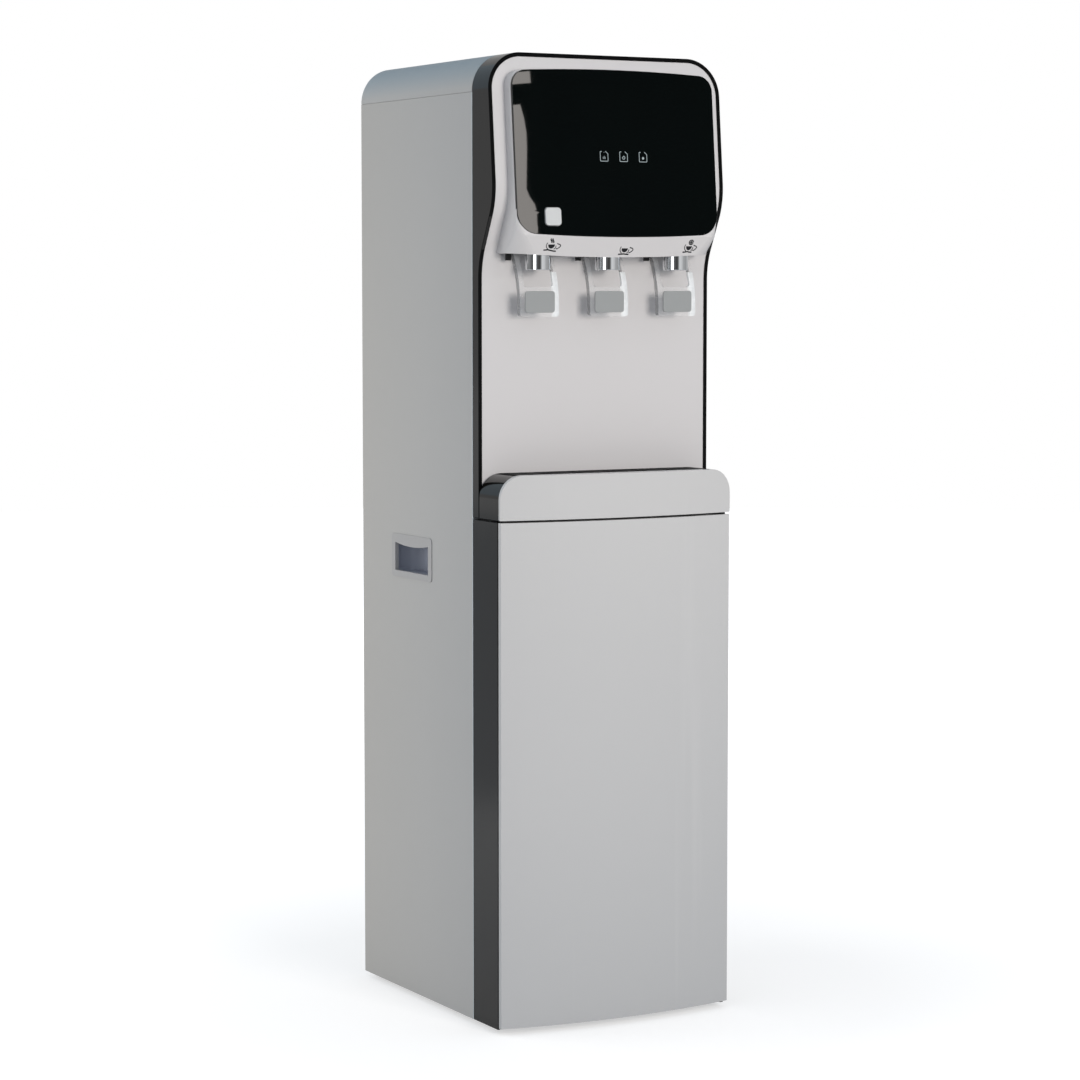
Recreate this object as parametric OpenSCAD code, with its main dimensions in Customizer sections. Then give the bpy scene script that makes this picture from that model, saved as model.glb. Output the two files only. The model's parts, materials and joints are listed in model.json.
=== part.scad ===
// Floor-standing water dispenser with hot, ambient and cold taps.
// Cabinet frame used by every module: X to the right seen from the front, Y to the back
// with y = 0 at the ends of the bowed front, Z up from the lower edge of the cabinet.

/* [Cabinet] */
// Width over the two side panels
body_w = 300; // [290:1:330]
// Depth from the ends of the bowed front to the rear edge of the side panels
body_d = 350; // [330:1:380]
// Height of the cabinet without its feet
body_h = 1094; // [1050:1:1150]
// Height of the feet
foot_h = 6; // [5:1:12]
// Radius of the feet
foot_r = 18; // [12:1:24]
// How far the middle of the bowed front stands ahead of its ends
bow = 16; // [12:1:20]
// Distance of the bow's ends ahead of y = 0
bow_y = 4; // [3:1:5]
// Front edge of the side panels
side_y = 62.3; // [58:0.1:66]
// Distance from the top down to the seam between the side panels and the top cover
seam_drop = 43; // [38:1:48]
// Radius of the upper corners in front view
top_r = 42; // [30:1:48]
// Thickness of the folded sheet steel
sheet = 1; // [0.8:0.1:1.2]
// Wall of the moulded covers
wall = 2.5; // [2:0.1:3]
// How far the back panel is set in from the rear edges
back_inset = 12; // [10:1:16]

/* [Head profile] */
// Width of the glossy rim round the fascia
rim_w = 4.6; // [4:0.1:6]
// y of the flat niche panel
niche_y = 47.5; // [44:0.5:52]
// y of the foremost point of the rim
nose_y = 13.6; // [11:0.1:16]
// Distance from the top down to the foremost point of the rim
nose_drop = 148; // [142:1:154]
// Radius of the nose in side view
nose_r = 75; // [60:1:90]
// Radius where the slope runs out into the niche
niche_r = 80; // [60:1:90]
// Slope under the nose, degrees from vertical
slope = 27; // [24:1:30]
// Backward lean of the head's front, degrees
lean = 5.1; // [3:0.1:6]

/* [Control pod] */
// Half width of the pod
pod_w = 130; // [126:1:132]
// How far the pod stands ahead of the rim's line
pod_out = 17.2; // [14:0.1:20]
// Distance from the top down to the lowest point of the pod
pod_drop = 226.6; // [224:0.1:230]
// Distance from the top down to the highest point of the pod
pod_top_drop = 16.8; // [14:0.1:20]
// Rise of the pod's curved upper and lower edges over half its width
pod_sag = 4; // [2:0.1:6]
// Distance from the top down to where the glossy panel ends and the chin starts
chin_drop = 204; // [200:1:208]
// y of the chin's lower edge
chin_y = 2; // [0:0.5:3]
// Corner radius of the chin in plan, at its lower edge
chin_r = 32; // [26:1:36]
// Thickness of the glossy control panel
panel_t = 3; // [2.5:0.1:4]
// Side of the square safety button
button_w = 20; // [16:0.5:22]
// Travel of the safety button
button_stroke = 1.8; // [1:0.1:2]

/* [Taps] */
// Gap between the outer taps' brackets and the pod's side walls
tap_side = 4; // [3:0.5:7]
// y of the spouts' axes
tap_y = 19.5; // [19:0.1:20]
// Radius of the chrome spout sleeves
spout_r = 14.75; // [13:0.25:15]
// Distance from the top down to the spouts' lower ends
spout_drop = 241; // [238:1:244]
// Radius of the water way through a spout
spout_bore_r = 3.5; // [3:0.1:4]
// Width of a lever
lever_w = 49.5; // [48:0.5:50]
// Radius of a lever's curve in side view
lever_r = 115; // [112:1:118]
// Distance from the top down to where a lever's curve turns straight
lever_drop = 282; // [280:1:286]
// y of a lever's front face at the bottom
lever_y = 15.5; // [15:0.1:16]
// Thickness of a lever
lever_t = 3; // [2.5:0.1:3.5]
// Distance from the top down to the lower edge of a lever
lever_end_drop = 293; // [292:1:296]
// Width of a lever's arms
arm_w = 6.4; // [6:0.1:7]
// y of the lever pivots
pivot_y = 44; // [43.5:0.1:44.5]
// Distance from the top down to the lever pivots
pivot_drop = 207; // [206:0.5:208]
// Radius of the lever pivot pins
pin_r = 2; // [1.5:0.1:2.2]
// Radial clearance of every turning pin
run = 0.05; // [0.03:0.01:0.08]

/* [Drip tray] */
// Height of the underside of the tray housing
tray_z0 = 575.2; // [575:0.1:577]
// Height of the tray housing's top
tray_z1 = 625.3; // [620:0.1:628]
// Radius of the tray housing's upper corners
tray_r = 27; // [20:1:30]
// Front face of the tray housing
tray_y0 = -0.2; // [-0.6:0.1:0.2]
// Half width of the lift-out tray
pan_w = 120; // [110:1:121]
// Clearance all round the lift-out tray and its grille
loose = 0.4; // [0.3:0.05:0.6]

/* [Door] */
// Height of the door's upper edge
door_z1 = 572.7; // [570:0.1:572.8]
// Height of the door's lower edge
door_z0 = 2; // [1.5:0.5:4]
// y of the door's rear edge
door_y = 1.7; // [1.5:0.1:2]
// Distance of the hinge axis from the side face
hinge_in = 7; // [7:0.5:8]
// y of the hinge axis
hinge_y = 0.4; // [0.3:0.1:0.6]
// Radius of the door's hinge pins
hinge_pin_r = 1.8; // [1.5:0.1:2]

/* [Side grips] */
// Length of a grip's frame
grip_l = 104.5; // [96:0.5:108]
// Height of a grip's frame
grip_h = 51; // [46:1:54]
// y of a grip's middle
grip_y = 216.7; // [205:0.1:225]
// Height of a grip's middle
grip_z = 518; // [512:1:520]
// Depth of a grip's recess
grip_depth = 31; // [26:1:32]

/* [Water system] */
// Radius of the filter cartridges
filter_r = 33; // [28:1:36]
// Distance between neighbouring cartridges
filter_pitch = 84; // [80:1:86]
// y of the cartridges' axes
filter_y = 106; // [100:1:110]
// Height of the tank deck
deck_z = 560; // [556:1:562]
// Radius of the cold tank's insulation
foam_r = 71; // [66:1:72]
// Radius of the water inlet's bore
inlet_r = 3.2; // [3.1:0.1:3.3]
// Depth of the water inlet's bore
inlet_l = 14; // [12:1:16]

/* [Hidden] */
$fn = 48;

hw = body_w / 2;
seam_z = body_h - seam_drop;
nose_z = body_h - nose_drop;
pod_z0 = body_h - pod_drop;
pod_z1 = body_h - pod_top_drop;
chin_z = body_h - chin_drop;
spout_z = body_h - spout_drop;
lever_z = body_h - lever_drop;
lever_z0 = body_h - lever_end_drop;
pivot_z = body_h - pivot_drop;
hinge_x = hw - hinge_in;
// Half the clear width between the folded edges of the side panels
clear_x = hw - 4;
bow_apex = -(bow_y + bow);
bow_r = (hw * hw + bow * bow) / (2 * bow);
back_y = body_d - back_inset;
// A tap's bracket reaches this far to the left of its axis
bracket_l = 34;
tap_pitch = pod_w - wall - bracket_l - tap_side;
tap_xs = [-tap_pitch, 0, tap_pitch];
filter_xs = [-filter_pitch, 0, filter_pitch];

// Compressor, its rubber mounts and the plate ahead of it, set out from the back panel
comp_y = back_y - 76;
mount_xs = [-60, 60];
mount_ys = [comp_y - 47, comp_y + 38];
plate_y = comp_y - 58;
coil_y = back_y - 12;

// Tanks and reservoir
tank_y = back_y - 148;
tank_z = deck_z + 31;
tank_h = seam_z - 261 - deck_z;
// Height of the middle between the two thermostats on the hot tank
thermo_z = tank_z + tank_h / 2 - 2.5;
cold_x = -(hw - foam_r - 7);
hot_x = hw - 76;
foam_h = tank_h + 42;
res_x = hw - 30;
res_y0 = 76;
res_y1 = back_y - 18;
res_z0 = seam_z - 130;
res_z1 = seam_z - 21;
post_x = hw - 18;

// Rim line in side view: the nose arc, the slope under it and the niche arc
nose_lo = [nose_y + nose_r * (1 - cos(slope)), nose_z - nose_r * sin(slope)];
nose_hi = [nose_y + nose_r * (1 - cos(lean)), nose_z + nose_r * sin(lean)];
niche_hi_y = niche_y - niche_r * (1 - cos(slope));
niche_hi_z = nose_lo[1] - (niche_hi_y - nose_lo[0]) / tan(slope);
niche_lo_z = niche_hi_z - niche_r * sin(slope);

// Pivot of the lever's curve in side view
curve_y = lever_y + lever_r;

function arc(c, r, a0, a1, n = 12) =
    [for (i = [0:n]) c + r * [cos(a0 + (a1 - a0) * i / n), sin(a0 + (a1 - a0) * i / n)]];

// The same arc without its two end points
function inner_arc(c, r, a0, a1, n) =
    [for (i = [1:n - 1]) c + r * [cos(a0 + (a1 - a0) * i / n), sin(a0 + (a1 - a0) * i / n)]];

// Rounded rectangle from (x0, y0) to (x1, y1); r0 at the lower corners, r1 at the upper
function round_box(x0, y0, x1, y1, r0, r1) = concat(
    arc([x1 - r1, y1 - r1], r1, 0, 90), arc([x0 + r1, y1 - r1], r1, 90, 180),
    arc([x0 + r0, y0 + r0], r0, 180, 270), arc([x1 - r0, y0 + r0], r0, 270, 360));

// y of the leaning front at height z, on the rim's line
function front_y(z) = nose_hi[0] + (z - nose_hi[1]) * tan(lean);

// y of the pod's front at height z
function pod_y(z) = front_y(z) - pod_out;

// The rim's line in (y, z), from the foot of the niche to the top
function rim_line(dy = 0) = concat(
    [[niche_y + dy, tray_z0 - 10]],
    arc([niche_y - niche_r + dy, niche_lo_z], niche_r, 0, slope),
    arc([nose_y + nose_r + dy, nose_z], nose_r, 180 + slope, 180 - lean),
    [[front_y(body_h + 5) + dy, body_h + 5]]);

// Everything below works in the cabinet frame and is placed once, here
module placed() {
    translate([0, (-bow_apex - body_d) / 2, foot_h]) children();
}

// Extrude an (x, z) outline along Y
module along_y(y0, y1) {
    translate([0, y1, 0]) rotate([90, 0, 0]) linear_extrude(y1 - y0) children();
}

// Extrude a (y, z) outline along X
module along_x(x0, x1) {
    translate([x0, 0, 0]) rotate([90, 0, 90]) linear_extrude(x1 - x0) children();
}

module box(x0, x1, y0, y1, z0, z1) {
    translate([x0, y0, z0]) cube([x1 - x0, y1 - y0, z1 - z0]);
}

// Coordinates on the control panel: x right, y up the panel, z out of it
module on_panel(z = chin_z) {
    translate([0, pod_y(z), z]) rotate([90 - lean, 0, 0]) children();
}

// Tube with round elbows through a list of points
module tube(path, r) {
    for (i = [0:len(path) - 2]) {
        d = path[i + 1] - path[i];
        translate(path[i])
            rotate([0, acos(d[2] / norm(d)), atan2(d[1], d[0])])
                cylinder(h = norm(d), r = r, $fn = 24);
    }
    for (i = [1:1:len(path) - 2])
        translate(path[i]) sphere(r = r * 1.02, $fn = 24);
}

// ---- cabinet ----

// Height of the base plate's turned-up edge
pan_h = 20;
screw_zs = [40, 300, 600, seam_z - 151, seam_z - 21];

module base_plate() {
    color([0.55, 0.56, 0.57]) placed() difference() {
        box(-hw + 3.5, hw - 3.5, 4, back_y - 4, 0, pan_h);
        box(-hw + 4.7, hw - 4.7, 5.2, back_y - 5.2, 1.5, pan_h + 1);
        box(hinge_x - 5, hw, 0, 26, -1, pan_h + 1);
        for (x = mount_xs, y = mount_ys) translate([x, y, -1]) cylinder(h = 4, r = 3.3);
    }
}

module feet() {
    color([0.12, 0.12, 0.12]) placed()
        for (x = [45 - hw, hw - 45], y = [50, body_d - 50]) translate([x, y, -foot_h]) {
            cylinder(h = foot_h - 1.5, r1 = foot_r - 1.5, r2 = foot_r);
            translate([0, 0, foot_h - 1.5]) cylinder(h = 1.5, r = foot_r);
        }
}

module side_panel() {
    difference() {
        union() {
            box(hw - sheet, hw, side_y, body_d, 0, seam_z);
            box(hw - 13, hw - sheet, side_y, side_y + sheet, pan_h + 0.3, seam_z - 12);
            box(hw - 13, hw - sheet, back_y - 2.2, back_y - 1.2, pan_h + 0.3, seam_z - 12);
            box(hw - 7, hw - sheet, body_d - sheet, body_d, 0, seam_z);
        }
        for (z = screw_zs) translate([hw - 7, back_y - 4, z]) rotate([-90, 0, 0])
            cylinder(h = 4, r = 1.9);
        along_x(hw - 2, hw + 1)
            polygon(round_box(grip_y - grip_l / 2 + 4, grip_z - grip_h / 2 + 4,
                              grip_y + grip_l / 2 - 4, grip_z + grip_h / 2 - 4, 3, 3));
    }
}

module left_side_panel() { color([0.66, 0.66, 0.65]) placed() mirror([1, 0, 0]) side_panel(); }

module right_side_panel() { color([0.66, 0.66, 0.65]) placed() side_panel(); }

module back_panel() {
    color([0.7, 0.71, 0.7]) placed() difference() {
        box(-hw + 1.4, hw - 1.4, back_y - 1.2, back_y, 1, seam_z - 1);
        for (x = [-62, 62], i = [0:15])
            along_y(back_y - 3, back_y + 2) translate([x, 250 + i * 14])
                square([96, 3.6], center = true);
        for (x = [7 - hw, hw - 7], z = screw_zs)
            translate([x, back_y - 3, z]) rotate([-90, 0, 0]) cylinder(h = 6, r = 1.9);
        translate([inlet_x, back_y - 3, inlet_z]) rotate([-90, 0, 0]) cylinder(h = 6, r = 9);
        box(50, 98, back_y - 3, back_y + 2, 71, 99);
        box(46, 102, back_y - 3, back_y + 2, 144, 176);
    }
}

module back_screws() {
    color([0.75, 0.75, 0.76]) placed()
        for (x = [7 - hw, hw - 7], z = screw_zs)
            translate([x, back_y, z]) rotate([-90, 0, 0]) difference() {
                union() {
                    translate([0, 0, -3]) cylinder(h = 3.5, r = 1.8);
                    cylinder(h = 1.6, r = 3.6);
                }
                translate([-2.6, -0.4, 0.8]) cube([5.2, 0.8, 1]);
                translate([-0.4, -2.6, 0.8]) cube([0.8, 5.2, 1]);
            }
}

// Arch outline in front view, closed at z0
module arch(inset, z0) {
    polygon(concat([[-hw + inset, z0], [hw - inset, z0]],
        arc([hw - top_r, body_h - top_r], top_r - inset, 0, 90, 20),
        arc([-hw + top_r, body_h - top_r], top_r - inset, 90, 180, 20)));
}

module top_cover() {
    color([0.6, 0.63, 0.66]) placed() {
        difference() {
            along_y(side_y + 0.3, body_d) arch(0, seam_z + 0.3);
            along_y(side_y - 1, body_d - wall) arch(wall, seam_z - 1);
        }
        for (x = [-hw + sheet + 0.2, hw - sheet - 2.2])
            box(x, x + 2, side_y + 2, back_y - 4, seam_z - 10, seam_z + 4);
    }
}

module upper_bezel() {
    color([0.2, 0.19, 0.19]) placed() difference() {
        intersection() {
            along_y(-20, side_y - 0.2) arch(0, tray_z0);
            along_x(-hw - 1, hw + 1)
                polygon(concat(rim_line(), [[70, body_h + 5], [70, tray_z0 - 10]]));
        }
        along_y(-30, side_y + 1) arch(rim_w, tray_z0 - 5);
    }
}

// ---- head ----

// Outline with curved upper and lower edges in front view; r0 rounds its lower corners and
// r1 its upper ones, each running smoothly into the curved edge
module crowned(half, z0, z1, sag, r0, r1) {
    big = (half * half + sag * sag) / (2 * sag);
    rise0 = sqrt(pow(big - r0, 2) - pow(half - r0, 2));
    rise1 = sqrt(pow(big - r1, 2) - pow(half - r1, 2));
    t0 = atan2(rise0, half - r0);
    t1 = atan2(rise1, half - r1);
    polygon(concat(
        arc([half - r1, z1 - big + rise1], r1, 0, t1, 10),
        inner_arc([0, z1 - big], big, t1, 180 - t1, 24),
        arc([r1 - half, z1 - big + rise1], r1, 180 - t1, 180, 10),
        arc([r0 - half, z0 + big - rise0], r0, 180, 180 + t0, 10),
        inner_arc([0, z0 + big], big, 180 + t0, 360 - t0, 24),
        arc([half - r0, z0 + big - rise0], r0, 360 - t0, 360, 10)));
}

module pod_slab(half, z, y, r) {
    translate([0, 0, z]) linear_extrude(0.5)
        polygon(round_box(-half, y, half, 60, r, 1));
}

// Full shape of the pod, shrunk by t on every outer face
module pod_body(t) {
    hull() {
        pod_slab(pod_w - t, pod_z1 + 3, pod_y(pod_z1 + 3) + t, 2);
        pod_slab(pod_w - t, chin_z + 26, pod_y(chin_z + 26) + t, 2);
        pod_slab(pod_w - t, chin_z + 1, pod_y(chin_z + 1) + t, 12);
        pod_slab(pod_w - t, pod_z0 - 1, chin_y + t, chin_r - t);
    }
}

module panel_outline(gap) {
    k = cos(lean);
    crowned(pod_w - 0.4 + gap, -gap, (pod_z1 - 0.4 - chin_z) / k + gap, pod_sag, 24, 18);
}

module tap_slots(y0, y1) {
    for (x = tap_xs) box(x - 36, x + 29, y0, y1, pod_z0 - 3, pod_z0 + 9);
}

module front_fascia() {
    color([0.88, 0.88, 0.88]) placed() difference() {
        union() {
            intersection() {
                along_y(-20, side_y) arch(rim_w + 0.15, tray_z1 - tray_r - 3);
                along_x(-hw, hw)
                    polygon(concat(rim_line(0.8), [for (i = [len(rim_line()) - 1:-1:0])
                                                       rim_line(0.8 + wall)[i]]));
            }
            intersection() {
                pod_body(0);
                along_y(-25, 60) crowned(pod_w, pod_z0, pod_z1, pod_sag, 2, 18);
                along_x(-hw, hw)
                    polygon(concat(rim_line(2), [[-40, body_h + 5], [-40, tray_z0 - 10]]));
            }
        }
        intersection() {
            pod_body(wall);
            along_y(-25, 70) crowned(pod_w - wall, pod_z0 + wall, pod_z1 - wall, pod_sag, 2, 16);
        }
        // seat of the glossy panel, open at the sides and the top
        on_panel() translate([0, 0, -panel_t]) linear_extrude(12) union() {
            panel_outline(0.15);
            translate([-pod_w - 5, 30]) square([2 * pod_w + 10, 170]);
        }
        on_panel() translate([0, 0, -12]) linear_extrude(20)
            translate([-108, 14]) square([216, 156]);
        intersection() {
            tap_slots(chin_y + wall, niche_y - 3);
            pod_body(wall);
        }
    }
}

button_x = -85;
button_v = 22 / cos(lean);

module square_button(w, h) {
    translate([button_x, button_v, 0]) linear_extrude(h)
        polygon(round_box(-w / 2, -w / 2, w / 2, w / 2, 4, 4));
}

module control_panel() {
    color([0.04, 0.05, 0.05]) placed() on_panel() difference() {
        translate([0, 0, -panel_t]) linear_extrude(panel_t) panel_outline(0);
        translate([0, 0, -panel_t - 1]) square_button(button_w + 0.8, panel_t + 2);
    }
}

module safety_button() {
    color([0.9, 0.9, 0.9]) placed() on_panel() union() {
        translate([0, 0, -panel_t - 1.4]) square_button(button_w, panel_t + 3.4);
        translate([0, 0, -panel_t - 1.4]) square_button(button_w + 3, 1);
        translate([button_x, button_v, -panel_t - 4]) cylinder(h = 3, r = 3);
    }
}

module control_board() {
    color([0.1, 0.35, 0.2]) placed() on_panel() {
        translate([0, 0, -15]) linear_extrude(1.6)
            translate([-104, 16]) square([208, 150]);
        translate([button_x, button_v, -13.4]) linear_extrude(4)
            square([6, 6], center = true);
        for (x = [-100, 100], y = [20, 160])
            translate([x, y, -13.4]) cylinder(h = 13.4 - panel_t, r = 3);
        translate([40, 110, -13.4]) linear_extrude(6) square([30, 22], center = true);
    }
}

// ---- side grips ----

// Plan of the grip's pocket with its two inner corners rounded, t inside the depth
module scoop(t, y0, y1, r) {
    x0 = hw - grip_depth + t;
    translate([0, 0, grip_z - grip_h / 2]) linear_extrude(grip_h)
        polygon(concat([[hw + 1, y0]], arc([x0 + r, y0 + r], r, 270, 180, 14),
                       arc([x0 + r, y1 - r], r, 180, 90, 14), [[hw + 1, y1]]));
}

module grip() {
    y0 = grip_y - grip_l / 2;
    y1 = grip_y + grip_l / 2;
    z0 = grip_z - grip_h / 2;
    z1 = grip_z + grip_h / 2;
    arch_r = 276;
    difference() {
        union() {
            along_x(hw, hw + 1) polygon(round_box(y0, z0, y1, z1, 5, 5));
            intersection() {
                along_x(hw - grip_depth, hw)
                    polygon(round_box(y0 + 4.4, z0 + 4.4, y1 - 4.4, z1 - 4.4, 6, 6));
                scoop(0, y0 + 4.4, y1 - 4.4, 24);
            }
        }
        intersection() {
            along_x(hw - grip_depth + 2, hw - 4)
                polygon(round_box(y0 + 6.4, z0 + 6.4, y1 - 6.4, z1 - 6.4, 4, 4));
            scoop(2, y0 + 6.4, y1 - 6.4, 22);
        }
        along_x(hw - 8, hw + 2) difference() {
            polygon(round_box(y0 + 9, z0 + 7.5, y1 - 9, z1 - 10, 1, 1));
            translate([grip_y, z1 - 13.6 + arch_r]) circle(r = arch_r, $fn = 240);
        }
    }
}

module left_grip() { color([0.8, 0.79, 0.77]) placed() mirror([1, 0, 0]) grip(); }

module right_grip() { color([0.8, 0.79, 0.77]) placed() grip(); }

// ---- drip tray ----

// Front outline of the tray housing, shrunk by t
module tray_outline(t) {
    polygon(round_box(-hw + t, tray_z0 + t, hw - t, tray_z1 - t, 1, tray_r - t));
}

// Plan of the bowed front, shrunk by t, back to y1
module bowed(t, half, y1, corner) {
    intersection() {
        polygon(round_box(-half + t, -40, half - t, y1, corner, 0.01));
        translate([0, bow_apex + bow_r]) circle(r = bow_r - t, $fn = 360);
        translate([-half, -60]) square([2 * half, 60 + y1]);
    }
}

module tray_housing() {
    color([0.2, 0.19, 0.19]) placed() difference() {
        along_y(tray_y0, niche_y - 1.2) tray_outline(0);
        along_y(tray_y0 + wall, niche_y - 1.2 - wall) tray_outline(3);
        box(-pan_w - loose, pan_w + loose, well_y, niche_y - 2.2, tray_z0 + 3, tray_z1 + 5);
    }
    // tabs that are screwed to the deck's front edge
    color([0.2, 0.19, 0.19]) placed()
        for (x = [-100, 100]) box(x - 12, x + 12, niche_y - 1.3, 64, tray_z0 + 4, tray_z0 + 12);
}

module tray_cover() {
    color([0.88, 0.88, 0.88]) placed() difference() {
        intersection() {
            translate([0, 0, tray_z0]) linear_extrude(60) bowed(0, hw, tray_y0 - 0.02, 5);
            along_y(-30, 10) tray_outline(0);
        }
        intersection() {
            translate([0, 0, tray_z0]) linear_extrude(60) bowed(wall, hw, tray_y0 + 5, 4);
            along_y(-30, 10) tray_outline(wall);
        }
    }
}

// Inside of the housing's front wall
well_y = tray_y0 + wall + 0.1;
pan_y0 = well_y + 2 * loose;
pan_y1 = niche_y - 2.6 - loose;
pan_z0 = tray_z0 + 3.3;
pan_z1 = tray_z1 - 3.4;

module drip_tray() {
    color([0.16, 0.16, 0.16]) placed() difference() {
        box(-pan_w + loose, pan_w - loose, pan_y0, pan_y1, pan_z0, pan_z1);
        box(-pan_w + loose + 2, pan_w - loose - 2, pan_y0 + 2, pan_y1 - 2, pan_z0 + 2, pan_z1 + 1);
    }
}

module drip_grille() {
    color([0.3, 0.3, 0.31]) placed() difference() {
        box(-pan_w + loose, pan_w - loose, pan_y0, pan_y1, pan_z1 + 0.3, tray_z1 - 0.1);
        for (i = [-5:5], j = [0:4])
            translate([i * 20, (pan_y0 + pan_y1) / 2 + (j - 2) * 7, pan_z1])
                linear_extrude(6) square([14, 3.6], center = true);
    }
}

// ---- door ----

// Height span of the lower hinge's plate, which carries the pin just under the door
ear_z = [door_z0 - 1.9, door_z0 - 0.4];
// Height span of the lower barrel in the door's frame
barrel_z = [door_z0 + 2.7, door_z0 + 14.7];
lug_r = 3;
door_mid = (door_z0 + door_z1) / 2;

// Repeats the lower hinge's parts at the upper hinge
module top_and_bottom() {
    children();
    translate([0, 0, 2 * door_mid]) mirror([0, 0, 1]) children();
}

module door_panel() {
    color([0.88, 0.88, 0.88]) placed() difference() {
        translate([0, 0, door_z0]) linear_extrude(door_z1 - door_z0)
            bowed(0, hw - 0.8, door_y, 5);
        translate([0, 0, door_z0 + wall]) linear_extrude(door_z1 - door_z0 - 2 * wall)
            bowed(wall, hw - 0.8, door_y + 5, 4);
        // the hinge pins pass through open slots in the lower and upper walls
        top_and_bottom() {
            translate([hinge_x, hinge_y, door_z0 - 1]) cylinder(h = wall + 2, r = hinge_pin_r + 0.4);
            box(hinge_x - hinge_pin_r - 0.4, hinge_x + hinge_pin_r + 0.4, hinge_y, door_y + 1,
                door_z0 - 1, door_z0 + wall + 1);
        }
    }
}

module door_frame() {
    color([0.8, 0.8, 0.8]) placed() difference() {
        union() {
            box(-hw + 3.6, hw - 14, door_y - 3, door_y, door_z0 + 2.7, door_z1 - 2.7);
            for (z = [150, 290, 430]) box(34 - hw, hw - 34, -6, door_y - 3, z - 2, z + 2);
            top_and_bottom() {
                translate([hinge_x, hinge_y, barrel_z[0]])
                    cylinder(h = barrel_z[1] - barrel_z[0], r = lug_r);
                box(hw - 15, hinge_x, -1.3, door_y, barrel_z[0], barrel_z[1]);
            }
        }
        top_and_bottom() translate([hinge_x, hinge_y, barrel_z[0] - 1])
            cylinder(h = barrel_z[1] - barrel_z[0] - 1, r = hinge_pin_r + run);
    }
}

module door_strike() {
    color([0.6, 0.61, 0.62]) placed()
        box(16 - hw, 40 - hw, door_y, door_y + 1, 275, 305);
}

module door_hinges() {
    color([0.25, 0.25, 0.25]) placed() top_and_bottom() {
        translate([hinge_x, hinge_y, ear_z[0]]) linear_extrude(ear_z[1] - ear_z[0]) {
            circle(r = lug_r);
            translate([-lug_r, 0]) square([2 * lug_r, 14]);
        }
        translate([hinge_x, hinge_y, ear_z[0]])
            cylinder(h = barrel_z[1] - ear_z[0] - 3, r = hinge_pin_r);
        box(hinge_x - 3.5, hw - 3, 10, 24, ear_z[0], 30);
    }
}

module door_magnet() {
    color([0.15, 0.15, 0.15]) placed() {
        box(16 - hw, 40 - hw, door_y + 1.3, 16, 278, 302);
        box(3 - hw, 16 - hw, 8, 16, 278, 302);
    }
}

module lower_trim() {
    union() {
        box(hw - 3, hw, door_y + 1, side_y - 0.2, 0, door_z1);
        box(hw - 13, hw - 3, side_y - 2.2, side_y - 0.2, pan_h + 0.3, door_z1);
        box(hw - 13, hw - 3, 26, side_y - 2.2, door_z1 - 5, door_z1 - 3);
    }
}

module left_lower_trim() {
    color([0.2, 0.19, 0.19]) placed() mirror([1, 0, 0]) lower_trim();
}

module right_lower_trim() {
    color([0.2, 0.19, 0.19]) placed() difference() {
        lower_trim();
        box(hw - 5, hw + 1, -5, 5.5, -1, door_z1 + 1);
        translate([hinge_x, hinge_y, -1]) cylinder(h = door_z1 + 2, r = 8);
    }
}

// ---- inner frame ----

module partition_plate() {
    color([0.75, 0.76, 0.77]) placed() {
        box(1 - clear_x, clear_x - 1, plate_y, plate_y + 1.2, 1.5, deck_z - 90);
        for (x = [[2 - clear_x, -72], [-48, 48], [72, clear_x - 2]])
            box(x[0], x[1], plate_y + 1.2, plate_y + 13, 1.5, 2.7);
    }
}

module tank_deck() {
    color([0.75, 0.76, 0.77]) placed() difference() {
        union() {
            box(-clear_x, clear_x, side_y + 1.7, back_y - 4, deck_z, deck_z + 1.5);
            box(-clear_x, clear_x, side_y + 1.7, side_y + 2.9, deck_z, deck_z + 31);
            for (x = [-clear_x, clear_x - 1.2])
                box(x, x + 1.2, side_y + 1.7, back_y - 4, deck_z - 14, deck_z + 1.5);
            for (x = [-100, 100]) box(x - 12, x + 12, 70, 140, 530, deck_z);
        }
        for (p = [[-30, comp_y + 38], [20, comp_y + 38], [0, comp_y - 22]])
            translate([p[0], p[1], deck_z - 1]) cylinder(h = 4, r = 11);
    }
}

// ---- filters ----

neck_r = 14;

module filter_manifold() {
    color([0.88, 0.88, 0.88]) placed() difference() {
        union() {
            box(22 - hw, hw - 22, filter_y - 36, filter_y + 24, deck_z - 48, deck_z - 30);
            for (x = filter_xs) translate([x, filter_y, deck_z - 76]) cylinder(h = 28, r = 22);
        }
        for (x = filter_xs) translate([x, filter_y, deck_z - 77])
            cylinder(h = 33, r = neck_r + run);
    }
}

// Quarter-turn cartridge: domed base, straight body, shoulder and neck
module cartridge(x) {
    translate([x, filter_y, 0]) rotate_extrude($fn = 64) polygon(concat(
        [[0, 130]], arc([filter_r - 10, 140], 10, -90, 0, 8),
        arc([filter_r - 12, deck_z - 108], 12, 0, 60, 8),
        [[neck_r + 4, deck_z - 90], [neck_r + 4, deck_z - 76.4], [neck_r, deck_z - 76.4],
         [neck_r, deck_z - 47], [0, deck_z - 47]]));
    for (a = [0:60:300]) translate([x, filter_y, 0]) rotate([0, 0, a])
        translate([filter_r - 1.5, -3, 150]) cube([3, 6, 40]);
}

module sediment_filter() { color([0.93, 0.93, 0.93]) placed() cartridge(-filter_pitch); }

module carbon_filter() { color([0.93, 0.93, 0.93]) placed() cartridge(0); }

module membrane_filter() { color([0.93, 0.93, 0.93]) placed() cartridge(filter_pitch); }

// ---- plumbing ----

inlet_x = -85;
inlet_z = 90;
valve_y = back_y - 52;

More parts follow.
